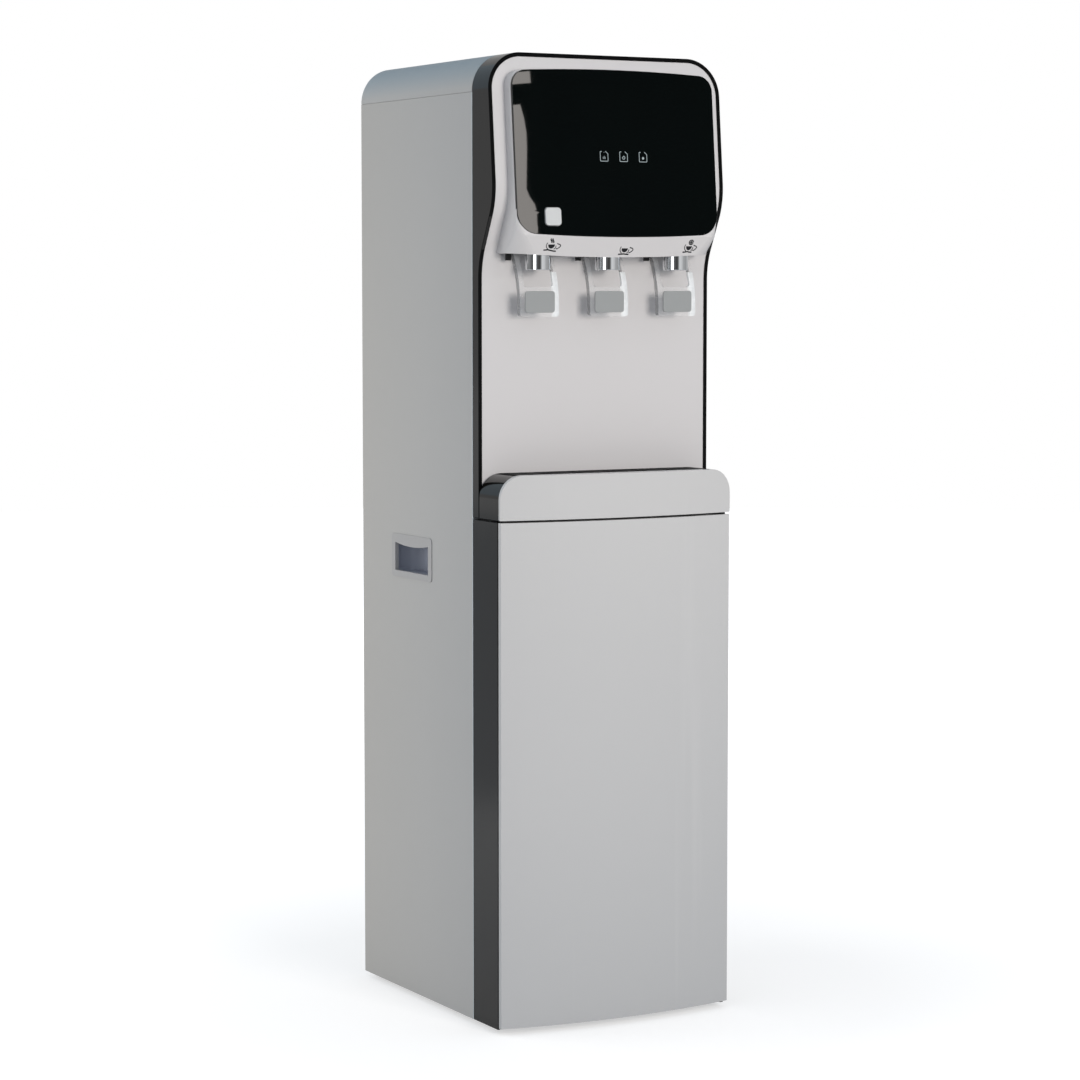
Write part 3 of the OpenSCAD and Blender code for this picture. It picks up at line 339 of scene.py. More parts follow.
def grip_moulding(name, colour, inside, depth):
    """The grips' moulding: a satin frame, and a grained pocket deeper in than depth, darker and bluer as painted
    shade.
    """
    f = Finish(name)
    pocket = abs(f.axis("X")) < depth
    frame_tone = f.patchy(colour, f.noise(12, 3) * 0.2, 0.85)
    return f.finished(
        # the pocket's darker, bluer colour is painted shade
        Base_Color=f.mix(pocket, frame_tone, f.patchy(inside, f.noise(20, 3), 0.8)),
        Roughness=f.noise(60, 3).between(0.32, 0.44) + pocket * 0.1,
        Normal=f.bump(f.cells(1500), 0.15, 0.0002))


def banded_moulding(name, colour, band, height, width):
    """White filter housing with one printed ring around its shoulder."""
    f = Finish(name)
    ring = abs(f.axis("Z") - height) < width / 2
    tone = f.patchy(colour, f.noise(12, 3) * 0.2, 0.9)
    return f.finished(
        Base_Color=f.mix(ring, tone, band),
        Roughness=f.noise(80, 3).between(0.26, 0.38) - ring * 0.08,
        Normal=f.bump(f.noise(200, 2), 0.05, 0.0002))


def fine_matt(name, colour, grain=1800, depth=0.25, roughness=0.55, shine=0.5):
    """Moulded plastic with a spark-eroded grain."""
    f = Finish(name)
    return f.finished(
        Base_Color=f.patchy(colour, f.noise(12, 3) * 0.22, 0.82),
        Roughness=f.noise(60, 3).between(roughness - 0.06, roughness + 0.1),
        Normal=f.bump(f.cells(grain), depth, 0.0002),
        Specular_IOR_Level=shine)


def black_glass(name, colour):
    """Back-painted black panel: deep, smooth, with a trace of wiping."""
    f = Finish(name)
    wipe = f.streaks(14, 5, 0.3)
    return f.finished(
        Base_Color=f.mix(wipe * 0.4, colour, [c * 1.6 + 0.001 for c in colour]),
        Roughness=wipe.between(0.004, 0.012),
        Normal=f.bump(f.noise(9, 1), 0.004, 0.0005),
        IOR=1.5)


def clear_plastic(name, colour, middle, bend):
    """Clear polycarbonate: a slight haze, and its right arm below the bend made nearly opaque white as a painted
    highlight.
    """
    f = Finish(name)
    facing = f.node("ShaderNodeLayerWeight", {}, {"Blend": 0.35}, "Facing")
    haze = f.noise(150, 3)
    # painted highlight: the right arm below the bend turns nearly opaque, so its white shows
    painted_highlight_arm = ((f.axis("X") - middle) > PAINTED_HIGHLIGHT_FROM) * (f.axis("Z") < bend)
    f.finished(
        Base_Color=colour,
        Roughness=haze.between(0.03, 0.09),
        Alpha=(facing ** 3 * 0.35 + haze.between(0.05, 0.10)
               | painted_highlight_arm * haze.between(0.55, 0.85)),
        IOR=1.58,
        Normal=f.bump(f.noise(60, 1), 0.03, 0.0004))
    f.material.blend_method = "HASHED"
    return f.material


def lever_edge_painted_light(name, colour, middle, bend):
    """Edges of a clear lever: grey painted shade above the bend and on the left, and a painted white highlight on
    the right arm.
    """
    f = Finish(name)
    streak = f.noise(220, 3)
    # the right arm below the bend: a painted white highlight
    right = ((f.axis("X") - middle) > LEVER_ARM) * (f.axis("Z") < bend)
    # elsewhere grey painted shade, darker above the bend
    painted_edge_shade = f.ramp((f.axis("Z") - bend) * 30 + 0.5, (0.0, 0.36), (1.0, 0.22))
    grey = f.mix(1.0, f.mix(streak, shade(colour, 0.6), colour), painted_edge_shade, "MULTIPLY")
    f.finished(
        Base_Color=f.mix(right, grey, colour),
        Roughness=streak.between(0.05, 0.15),
        Alpha=f.noise(90, 2).between(0.45, 0.95),
        IOR=1.58,
        Normal=f.bump(f.noise(60, 1), 0.03, 0.0004))
    f.material.blend_method = "HASHED"
    return f.material


def polished_chrome(name, colour):
    """Chrome plate with a faint smear."""
    f = Finish(name)
    smear = f.streaks(80, 4, 0.2)
    return f.finished(Base_Color=colour, Metallic=1.0, Roughness=smear.between(0.015, 0.045))


def brushed_metal(name, colour, upright):
    """Brushed stainless steel: streaks that run up and down."""
    f = Finish(name)
    streak = f.streaks(1500, 3, upright)
    return f.finished(
        Base_Color=f.patchy(colour, streak * 0.4, 0.75),
        Metallic=1.0,
        Roughness=streak.between(0.22, 0.44),
        Normal=f.bump(streak, 0.12, 0.0001))


def zinc_sheet(name, colour):
    """Galvanised sheet: spangle of flat crystals."""
    f = Finish(name)
    crystal = f.cells(90, output="Color")
    grey = f.node("ShaderNodeRGBToBW", {}, {0: crystal})
    return f.finished(
        Base_Color=f.mix(grey, shade(colour, 0.72), colour),
        Metallic=0.85,
        Roughness=grey.between(0.32, 0.55),
        Normal=f.bump(f.noise(300, 2), 0.06, 0.0002))


def foam_block(name, colour):
    """Expanded foam: close-packed beads with darker seams."""
    f = Finish(name)
    bead = f.cells(260)
    return f.finished(
        Base_Color=f.mix(f.ramp(bead, (0.25, 0), (0.75, 1)), colour, shade(colour, 0.72)),
        Roughness=0.85,
        Normal=f.bump(1 - bead, 0.6, 0.0012))


def rubber(name, colour):
    """Matt rubber, paler where it is worn."""
    f = Finish(name)
    grain = f.noise(900, 3)
    return f.finished(
        Base_Color=f.patchy(colour, f.noise(20, 2), 1.8),
        Roughness=grain.between(0.62, 0.82),
        Normal=f.bump(grain, 0.3, 0.0003))


def copper_tube(name, colour):
    """Drawn copper with brown tarnish."""
    f = Finish(name)
    tarnish = f.ramp(f.noise(45, 4), (0.42, 0), (0.62, 1))
    return f.finished(
        Base_Color=f.mix(tarnish, colour, (0.28, 0.12, 0.06)),
        Metallic=1.0,
        Roughness=f.noise(45, 4).between(0.2, 0.5),
        Normal=f.bump(f.noise(600, 2), 0.08, 0.0002))


def black_enamel(name, colour):
    """Thick black paint over a pressed shell: shallow runs and dust on top."""
    f = Finish(name)
    run = f.streaks(60, 2, 0.25)
    dust = f.noise(25, 5)
    return f.finished(
        Base_Color=f.mix(f.ramp(dust, (0.5, 0), (0.8, 0.35)), colour, (0.16, 0.15, 0.14)),
        Roughness=dust.between(0.22, 0.5),
        Normal=f.bump(run, 0.25, 0.0008))


def circuit_board(name, colour):
    """Solder mask with tracks in a lighter green."""
    f = Finish(name)
    flat = f.node("ShaderNodeMapping", {},
                  {"Vector": f.place, "Rotation": (math.radians(85), 0, 0)})
    brick = f.node("ShaderNodeTexBrick", {"offset": 0.37},
                   {"Vector": flat, "Scale": 90.0, "Mortar Size": 0.03,
                    "Color1": (0, 0, 0), "Color2": (0, 0, 0), "Mortar": (1, 1, 1)})
    return f.finished(
        Base_Color=f.mix(brick, colour, [c * 2.2 + 0.01 for c in colour]),
        Roughness=f.noise(200, 2).between(0.3, 0.45),
        Normal=f.bump(brick, 0.2, 0.0001))


def milky_plastic(name, colour, alpha):
    """Unpigmented polypropylene: cloudy and slightly see-through."""
    f = Finish(name)
    cloud = f.noise(18, 3)
    return f.finished(
        Base_Color=f.patchy(colour, cloud, 0.9),
        Alpha=cloud.between(alpha - 0.06, alpha + 0.06),
        Roughness=f.noise(120, 2).between(0.28, 0.42),
        Normal=f.bump(f.noise(400, 2), 0.1, 0.0002))


def printed_ink(name, colour):
    """Screen-printed ink, a little thinner in places."""
    f = Finish(name)
    thin = f.noise(900, 3)
    return f.finished(
        Base_Color=f.mix(thin, colour, [min(1.0, c + 0.01) for c in colour]),
        Roughness=thin.between(0.5, 0.7),
        Specular_IOR_Level=0.2)


def lit_symbol(name, colour, glow):
    """Symbol lit from behind through the panel."""
    f = Finish(name)
    even = f.noise(500, 2)
    return f.finished(
        Base_Color=(0.02, 0.02, 0.02),
        Emission_Color=f.patchy(colour, even, 0.8),
        Emission_Strength=glow,
        Roughness=0.3)


# ---- modelling helpers ----


def clear_selection():
    """Leave edit mode and deselect everything."""
    if bpy.context.mode != "OBJECT":
        bpy.ops.object.mode_set(mode="OBJECT")
    bpy.ops.object.select_all(action="DESELECT")


def select_only(*pieces):
    """Select these pieces and no others, the first one active."""
    clear_selection()
    for piece in pieces:
        piece.select_set(True)
    bpy.context.view_layer.objects.active = pieces[0]


def edit(piece, mode="FACE"):
    """Edit a piece, with all of it selected."""
    select_only(piece)
    bpy.ops.object.mode_set(mode="EDIT")
    bpy.ops.mesh.select_mode(type=mode)
    bpy.ops.mesh.select_all(action="SELECT")


def pick(piece, kind, test):
    """In edit mode, select the faces, edges or verts that pass a test."""
    bpy.ops.mesh.select_mode(type={"faces": "FACE", "edges": "EDGE", "verts": "VERT"}[kind])
    bpy.ops.mesh.select_all(action="DESELECT")
    shape = bmesh.from_edit_mesh(piece.data)
    for item in getattr(shape, kind):
        if test(item):
            item.select_set(True)
    bmesh.update_edit_mesh(piece.data)


def smooth(piece, angle=35):
    """Shade smooth below an angle, with the large faces kept flat."""
    select_only(piece)
    bpy.ops.object.shade_smooth_by_angle(angle=math.radians(angle))
    flat = piece.modifiers.new("flat_faces", "WEIGHTED_NORMAL")
    flat.keep_sharp = True
    flat.weight = 100
    bpy.ops.object.modifier_apply(modifier=flat.name)
    clear_selection()


def settle(piece, angle=35):
    """Put the piece's place into its mesh, make its faces point outwards and smooth them."""
    select_only(piece)
    bpy.ops.object.transform_apply(location=True, rotation=True, scale=True)
    edit(piece)
    bpy.ops.mesh.remove_doubles(threshold=TOUCHING)
    bpy.ops.mesh.normals_make_consistent(inside=False)
    clear_selection()
    smooth(piece, angle)
    return piece


def hang(piece, name, node):
    """Name a piece and let it ride on the body of a solid."""
    piece.name = piece.data.name = name
    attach(piece, BODY_OF[node])
    return piece


def coat(piece, *finishes):
    """Give a piece its finishes, one material slot each."""
    piece.data.materials.clear()
    for finish in finishes:
        piece.data.materials.append(finish)
    return piece


def paint(finish, *nodes):
    """Give solids that stay as they are a finish."""
    for name in nodes:
        coat(NODES[name], finish)


def dressed(name, *finishes, width=0.5 * MM, segments=2, limit=30, where=None, rim=-1):
    """Stand a copy of a solid in its place, with its sharp edges rounded.

    where may choose edges by their middle, and rim is the material slot of the rounded edges.
    """
    clear_selection()
    piece = bpy.data.objects.new(name + "_shell", NODES[name].data.copy())
    bpy.context.collection.objects.link(piece)
    coat(piece, *finishes)
    select_only(piece)
    bpy.ops.mesh.customdata_custom_splitnormals_clear()
    edit(piece)
    bpy.ops.mesh.remove_doubles(threshold=TOUCHING)
    bpy.ops.mesh.dissolve_limited(angle_limit=math.radians(0.5))
    if width:
        sharp = math.radians(limit)
        pick(piece, "edges", lambda e: e.calc_face_angle(0) > sharp
             and (where is None or where((e.verts[0].co + e.verts[1].co) / 2)))
        bpy.ops.mesh.bevel(offset=width, segments=segments, affect="EDGES", clamp_overlap=True,
                           material=rim)
    clear_selection()
    smooth(piece)
    hang(piece, name + "_shell", name)
    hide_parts(name)
    return piece


def recoat(piece, slot, test):
    """Give the faces that pass a test another of the piece's finishes."""
    edit(piece)
    pick(piece, "faces", test)
    piece.active_material_index = slot
    bpy.ops.object.material_slot_assign()
    clear_selection()


def turned(rings):
    """A closed tube about Z: a circle extruded and scaled ring by ring, and its ends bridged."""
    clear_selection()
    radius, height = rings[0]
    bpy.ops.mesh.primitive_circle_add(vertices=64, radius=radius, location=(0, 0, height))
    piece = bpy.context.object
    edit(piece, "EDGE")
    for (last, height), (radius, level) in zip(rings, rings[1:]):
        bpy.ops.mesh.extrude_edges_move(TRANSFORM_OT_translate={"value": (0, 0, level - height)})
        growth = radius / last
        bpy.ops.transform.resize(value=(growth, growth, 1), center_override=(0, 0, level))
    pick(piece, "edges", lambda e: e.is_boundary)
    bpy.ops.mesh.bridge_edge_loops()
    clear_selection()
    return piece


def copy_of(piece):
    """A copy with its own mesh."""
    select_only(piece)
    bpy.ops.object.duplicate(linked=False)
    return bpy.context.object


def joined(pieces):
    """Several pieces made one."""
    select_only(*pieces)
    bpy.ops.object.join()
    return bpy.context.object


def stroke(points, width, height):
    """A flat printed line through points of the XY plane, in metres."""
    clear_selection()
    bpy.ops.mesh.primitive_plane_add(size=width, location=(*points[0], 0))
    piece = bpy.context.object
    edit(piece, "VERT")
    bpy.ops.mesh.merge(type="CENTER")
    for before, after in zip(points, points[1:]):
        step = (after[0] - before[0], after[1] - before[1], 0)
        bpy.ops.mesh.extrude_region_move(TRANSFORM_OT_translate={"value": step})
    select_only(piece)
    bpy.ops.object.convert(target="CURVE")
    piece = bpy.context.object
    piece.data.bevel_depth = width / 2
    piece.data.bevel_resolution = 1
    piece.data.use_fill_caps = True
    bpy.ops.object.convert(target="MESH")
    piece = bpy.context.object
    select_only(piece)
    bpy.ops.object.transform_apply(location=True, rotation=True, scale=True)
    edit(piece)
    bpy.ops.transform.resize(value=(1, 1, height / width), center_override=(0, 0, 0))
    clear_selection()
    return piece


def blot(centre, size, height, top):
    """A filled printed oval in the XY plane, cut off level above top."""
    clear_selection()
    bpy.ops.mesh.primitive_cylinder_add(vertices=32, radius=0.5, depth=height)
    piece = bpy.context.object
    edit(piece)
    bpy.ops.transform.resize(value=(*size, 1), center_override=(0, 0, 0))
    bpy.ops.transform.translate(value=(*centre, 0))
    bpy.ops.mesh.bisect(plane_co=(0, top, 0), plane_no=(0, 1, 0), use_fill=True, clear_outer=True)
    clear_selection()
    return piece


def bow(centre, radius, start, end, steps=10):
    """Points of an arc, degrees from +X."""
    turns = [math.radians(start + (end - start) * i / steps) for i in range(steps + 1)]
    return [(centre[0] + radius * math.cos(t), centre[1] + radius * math.sin(t)) for t in turns]


def scaled(points, size):
    """Points of a drawing at its real size."""
    return [(x * size, y * size) for x, y in points]


def lay(piece, foot, right, up, lift=0.0):
    """Move a drawing from the XY plane to a plane through foot, spanned by right and up."""
    out = right.cross(up).normalized()
    at = foot + out * lift
    piece.matrix_world = Matrix(((right.x, up.x, out.x, at.x), (right.y, up.y, out.y, at.y),
                                 (right.z, up.z, out.z, at.z), (0, 0, 0, 1)))
    return settle(piece)


# ---- sizes and colours ----


def colour(name, description, default):
    return bpy.props.FloatVectorProperty(
        name=name, description=description, subtype="COLOR", size=3, min=0, max=1, default=default)


def distance(name, description, low, high, default):
    return bpy.props.FloatProperty(
        name=name, description=description, subtype="DISTANCE", unit="LENGTH",
        min=low, max=high, default=default)


def power(name, description, default):
    return bpy.props.FloatProperty(
        name=name, description=description, subtype="POWER", unit="POWER", min=0, default=default)


class DispenserColours(bpy.types.PropertyGroup):
    """Colours of the dispenser's main finishes."""

    sides: colour("Side panels", "Paint of the two side panels", (0.48, 0.471, 0.458))
    # darker and bluer than the side paint: the crown's painted bluish shade
    top: colour("Top cover", "Crown of the moulded top cover", (0.30, 0.38, 0.43))
    front: colour("Fascia", "Front moulding of the head and the niche", (0.645, 0.63, 0.632))
    door: colour("Door", "Door and tray cover", (0.578, 0.573, 0.571))
    # lighter and bluer than the side paint: a painted highlight along the folds
    fold: colour("Folds", "Polished front edges of the side panels", (0.60, 0.66, 0.68))
    trim: colour("Dark trim", "Bezel and tray housing", (0.006, 0.0055, 0.005))
    # lighter and browner than the bezel's trim: their own dark colour lifted by a painted reflection
    lower_trim: colour("Lower trims", "Dark trims beside the door", (0.016, 0.0148, 0.0135))
    panel: colour("Control panel", "Black control panel", (0.0015, 0.0025, 0.0025))
    button: colour("Button", "Safety button", (0.60, 0.61, 0.61))
    pads: colour("Lever pads", "Grey inlays of the levers", (0.33, 0.34, 0.34))
    levers: colour("Levers", "Clear moulding of the levers", (0.90, 0.92, 0.93))
    grips: colour("Side grips", "Frames of the carrying grips", (0.44, 0.43, 0.425))
    # darker and bluer than the frames: the pockets' painted shade
    pocket: colour("Grip pockets", "Inside of the carrying grips", (0.36, 0.38, 0.45))
    ink: colour("Printed symbols", "Ink of the cup symbols", (0.012, 0.012, 0.014))


class DispenserSizes(bpy.types.PropertyGroup):
    """Sizes of the small fittings that are modelled here."""

    symbol: distance("Panel symbol", "Side of a lit panel symbol", 0.006, 0.02, 0.0110)
    symbol_pitch: distance("Symbol pitch", "Distance between lit symbols", 0.015, 0.04, 0.02525)
    symbol_height: distance(
        "Symbol height", "Height of the lit symbols on the panel", 0.02, 0.17, 0.0903)
    line: distance("Symbol line", "Line width of a lit symbol", 0.0002, 0.0015, 0.00072)
    cup: distance("Cup symbol", "Width of a printed cup symbol's bowl", 0.005, 0.012, 0.0088)
    sheet_edge: distance(
        "Sheet edge", "Rounding of the side panels' folds", 0.0002, 0.0015, 0.0009)


class DispenserStudio(bpy.types.PropertyGroup):
    """Camera and lamps."""

    lens: bpy.props.FloatProperty(
        name="Lens", description="Focal length", subtype="DISTANCE_CAMERA",
        min=20, max=300, default=102.99)
    place: bpy.props.FloatVectorProperty(
        name="Camera", description="Camera position", subtype="XYZ", unit="LENGTH",
        size=3, default=(-1.74887, -3.18819, 0.84405))
    turn: bpy.props.FloatProperty(
        name="Turn", description="Camera's turn about the upright, from facing the back wall",
        subtype="ANGLE", unit="ROTATION", default=math.radians(28.645))
    tilt: bpy.props.FloatProperty(
        name="Tilt", description="Camera's downward tilt", subtype="ANGLE",
        unit="ROTATION", default=math.radians(4.746))
    key: power("Key lamp", "Power of the lamp ahead of the dispenser", 31.0)
    fill: power("Fill lamp", "Power of the lamp at the left", 8.7)
    sky: bpy.props.FloatProperty(
        name="Room light", description="Strength of the even light from all round",
        min=0, max=2, default=0.58)


# ---- operators ----


class DISPENSER_OT_dress_cabinet(bpy.types.Operator):
    """Dress the sheet-metal cabinet, its top cover and its base"""

    bl_idname = "dispenser.dress_cabinet"
    bl_label = "Cabinet"

    def execute(self, context):
        colours = context.scene.dispenser_colours
        edge = context.scene.dispenser_sizes.sheet_edge
        sides = side_paint("side_paint", colours.sides)
        # the folds' painted highlight
        fold = fold_paint("fold_paint", colours.fold)
        for name in ("left_side_panel", "right_side_panel"):
            low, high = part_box(name)
            outer = max(abs(low.x), abs(high.x))
            front = low.y
            dressed(name, sides, fold, width=edge, segments=3, rim=1,
                    where=lambda p: abs(abs(p.x) - outer) < ON_FACE and p.y < front + ON_FACE)
        # the top cover's finish carries a painted bluish shade towards its crown
        dressed("top_cover", cover_moulding("cover_moulding", colours.sides, colours.top))
        dressed("back_panel", satin_paint("back_paint", (0.5, 0.51, 0.5), 0.45), width=0.25 * MM)
        paint(zinc_sheet("zinc_sheet", (0.62, 0.63, 0.64)), "base_plate", "partition_plate",
              "tank_deck", "reservoir_stand")
        paint(brushed_metal("screw_steel", STEEL, 0.1), "back_screws")
        paint(rubber("black_rubber", (0.02, 0.02, 0.02)), "feet", "compressor_mounts")
        return {"FINISHED"}


class DISPENSER_OT_dress_front(bpy.types.Operator):
    """Dress the mouldings of the front: bezel, fascia, tray, door and trims"""

    bl_idname = "dispenser.dress_front"
    bl_label = "Front mouldings"

    def execute(self, context):
        colours = context.scene.dispenser_colours
        trim = gloss_moulding("dark_trim", colours.trim, 0.09)
        dull = fine_matt("tray_rim_black", (0.006, 0.006, 0.006), 1400, 0.2, 0.7, 0.05)
        lip = fine_matt("bezel_lip", (0.003, 0.0032, 0.0034), 1400, 0.1, 0.45, 0.12)
        recoat(dressed("upper_bezel", trim, lip, rim=1), 1, lambda face: face.normal.y < -0.9)
        recoat(dressed("tray_housing", trim, dull), 1, lambda face: face.normal.z > 0.97)
        # the lower trims' lighter colour is partly a painted reflection
        lower = gloss_moulding("lower_trim", colours.lower_trim, 0.09)
        for name in ("left_lower_trim", "right_lower_trim"):
            dressed(name, lower)
        dressed("front_fascia", fascia_moulding("fascia_moulding", colours.front), width=0)
        door = door_moulding("door_moulding", colours.door)
        dressed("door_panel", door, width=0.6 * MM)
        dressed("tray_cover", door, width=0.6 * MM)
        return {"FINISHED"}


class DISPENSER_OT_dress_grips(bpy.types.Operator):
    """Dress the two carrying grips"""

    bl_idname = "dispenser.dress_grips"
    bl_label = "Side grips"

    def execute(self, context):
        colours = context.scene.dispenser_colours
        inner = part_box("right_grip")[1].x - GRIP_FRAME
        grip = grip_moulding("grip_moulding", colours.grips, colours.pocket, inner)
        for name in ("left_grip", "right_grip"):
            dressed(name, grip, width=0.35 * MM, where=lambda p: abs(p.x) > inner)
        return {"FINISHED"}


class DISPENSER_OT_dress_controls(bpy.types.Operator):
    """Dress the control panel, its button and the board behind it"""

    bl_idname = "dispenser.dress_controls"
    bl_label = "Control panel"

    def execute(self, context):
        colours = context.scene.dispenser_colours

        def ahead(name):
            """Edges of the face that the user sees."""
            front = min(v.co.dot(PRESS) for v in NODES[name].data.vertices)
            return lambda p: p.dot(PRESS) < front + 0.2 * MM

        dressed("control_panel", black_glass("panel_glass", colours.panel), width=0.5 * MM,
                segments=3, where=ahead("control_panel"))
        dressed("safety_button", gloss_moulding("button_moulding", colours.button, 0.2),
                width=0.8 * MM, segments=3, where=ahead("safety_button"))
        paint(circuit_board("green_board", (0.02, 0.12, 0.05)), "control_board")
        return {"FINISHED"}


class DISPENSER_OT_dress_taps(bpy.types.Operator):
    """Dress the spouts, their levers and what carries them"""

    bl_idname = "dispenser.dress_taps"
    bl_label = "Taps"

    def spouts(self):
        """Chromed sleeves with a recessed aerator, one over each tap."""
        low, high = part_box("spouts")
        r = (high.y - low.y) / 2
        z0, z1 = low.z, high.z
        sleeve = turned([
            (0.24 * r, z0 + 0.3 * MM), (0.37 * r, z0 + 0.3 * MM), (0.4 * r, z0 + 0.8 * MM),
            (0.4 * r, z0 + 2.9 * MM), (r - 2 * MM, z0 + 2.9 * MM), (r - 2 * MM, z0 + 0.4 * MM),
            (r - 1.6 * MM, z0), (r - 0.7 * MM, z0), (r - 0.2 * MM, z0 + 0.2 * MM),
            (r, z0 + 0.7 * MM), (r, z1 - 0.6 * MM), (r - 0.4 * MM, z1), (0.24 * r, z1)])
        sleeves = []
        for name in TAPS:
            tap_low, tap_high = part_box(name + "_lever")
            one = copy_of(sleeve)
            one.location = ((tap_low.x + tap_high.x) / 2, (low.y + high.y) / 2, one.location.z)
            sleeves.append(one)
        clear_selection()
        bpy.data.objects.remove(sleeve)
        piece = settle(joined(sleeves), 30)
        coat(piece, polished_chrome("chrome_plate", (0.80, 0.82, 0.84)))
        hang(piece, "spout_sleeves", "spouts")
        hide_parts("spouts")

    def execute(self, context):
        colours = context.scene.dispenser_colours
        self.spouts()
        pad = fine_matt("pad_inlay", colours.pads, 1400, 0.2, 0.45)
        for name in TAPS:
            low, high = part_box(name + "_lever")
            middle, bend = (low.x + high.x) / 2, low.z + LEVER_BEND
            lever = dressed(name + "_lever",
                            clear_plastic(name + "_lever_clear", colours.levers, middle, bend),
                            lever_edge_painted_light(name + "_lever_edge", colours.levers, middle, bend),
                            width=0.5 * MM, limit=28, rim=1)
            # the left-facing, top and bottom faces take the edge finish with its painted shade
            recoat(lever, 1, lambda face: face.normal.x < -0.7 or abs(face.normal.z) > 0.85)
            lever.visible_shadow = False  # clear plastic throws next to none
            dressed(name + "_pad", pad, width=0.35 * MM)
        paint(fine_matt("bracket_black", BLACK_PLASTIC), "tap_brackets", "tap_valves")
        return {"FINISHED"}


class DISPENSER_OT_dress_tray(bpy.types.Operator):
    """Dress the lift-out drip tray and its grille"""

    bl_idname = "dispenser.dress_tray"
    bl_label = "Drip tray"

    def execute(self, context):
        tray = fine_matt("tray_black", (0.02, 0.02, 0.021), 900, 0.3, 0.4)
        dressed("drip_tray", tray)
        grille = fine_matt("grille_black", (0.010, 0.010, 0.011), 1400, 0.2, 0.6, 0.12)
        dressed("drip_grille", grille, width=0.4 * MM)
        return {"FINISHED"}


class DISPENSER_OT_dress_rear(bpy.types.Operator):
    """Dress the rear switches, the mains socket and the water inlet"""

    bl_idname = "dispenser.dress_rear"
    bl_label = "Rear connections"

    def execute(self, context):
        black = fine_matt("socket_black", BLACK_PLASTIC)
        dressed("power_inlet", black, width=0.4 * MM)
        dressed("switch_plate", black, width=0.4 * MM)
        dressed("hot_switch", gloss_moulding("rocker_red", (0.5, 0.02, 0.015), 0.2))
        dressed("cold_switch", gloss_moulding("rocker_green", (0.02, 0.26, 0.07), 0.2))
        paint(fine_matt("inlet_white", WHITE_PLASTIC, 1200, 0.15, 0.4), "inlet_fitting")
        paint(black_enamel("condenser_black", ENAMEL), "condenser_coil")
        return {"FINISHED"}


class DISPENSER_OT_dress_filter_bay(bpy.types.Operator):
    """Dress the door's inside and the filters behind it"""

    bl_idname = "dispenser.dress_filter_bay"
    bl_label = "Filter bay"

    def execute(self, context):
        liner = fine_matt("liner_white", WHITE_PLASTIC, 1200, 0.15, 0.45)
        dressed("door_frame", liner, width=0.6 * MM)
        dressed("filter_manifold", liner, width=0.8 * MM)
        paint(brushed_metal("strike_steel", STEEL, 0.1), "door_strike")
        dark = fine_matt("hinge_black", BLACK_PLASTIC, 1500, 0.15, 0.4)
        paint(dark, "door_magnet")
        dressed("door_hinges", dark, width=0.25 * MM)
        for name, band in (("sediment_filter", (0.03, 0.22, 0.5)),
                           ("carbon_filter", (0.03, 0.3, 0.12)),
                           ("membrane_filter", (0.5, 0.2, 0.02))):
            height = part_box(name)[1].z - RING_DROP
            dressed(name, banded_moulding(name + "_white", (0.72, 0.73, 0.74), band, height,
                                          RING_WIDTH))
        return {"FINISHED"}


class DISPENSER_OT_dress_water_system(bpy.types.Operator):
    """Dress the tanks, the reservoir, the tubes and the cooling circuit"""

    bl_idname = "dispenser.dress_water_system"
    bl_label = "Water and cooling"

    def execute(self, context):
        paint(fine_matt("float_white", WHITE_PLASTIC, 1200, 0.15, 0.45), "float_valve",
              "reservoir_lid")
        paint(fine_matt("valve_cream", (0.6, 0.58, 0.5)), "solenoid_valve", "thermostats")
        paint(milky_plastic("blue_tube", (0.3, 0.5, 0.8), 0.92), "water_tubes")
        paint(brushed_metal("tank_steel", (0.66, 0.67, 0.68), 0.02), "cold_tank",
              "hot_tank")
        paint(foam_block("tank_foam", (0.8, 0.8, 0.75)), "cold_tank_insulation")
        paint(copper_tube("copper_tube", (0.72, 0.36, 0.22)), "evaporator_coil", "filter_drier")
        paint(milky_plastic("reservoir_milky", (0.7, 0.76, 0.8), 0.82), "reservoir_tank")
        paint(black_enamel("compressor_black", ENAMEL), "compressor")
        return {"FINISHED"}


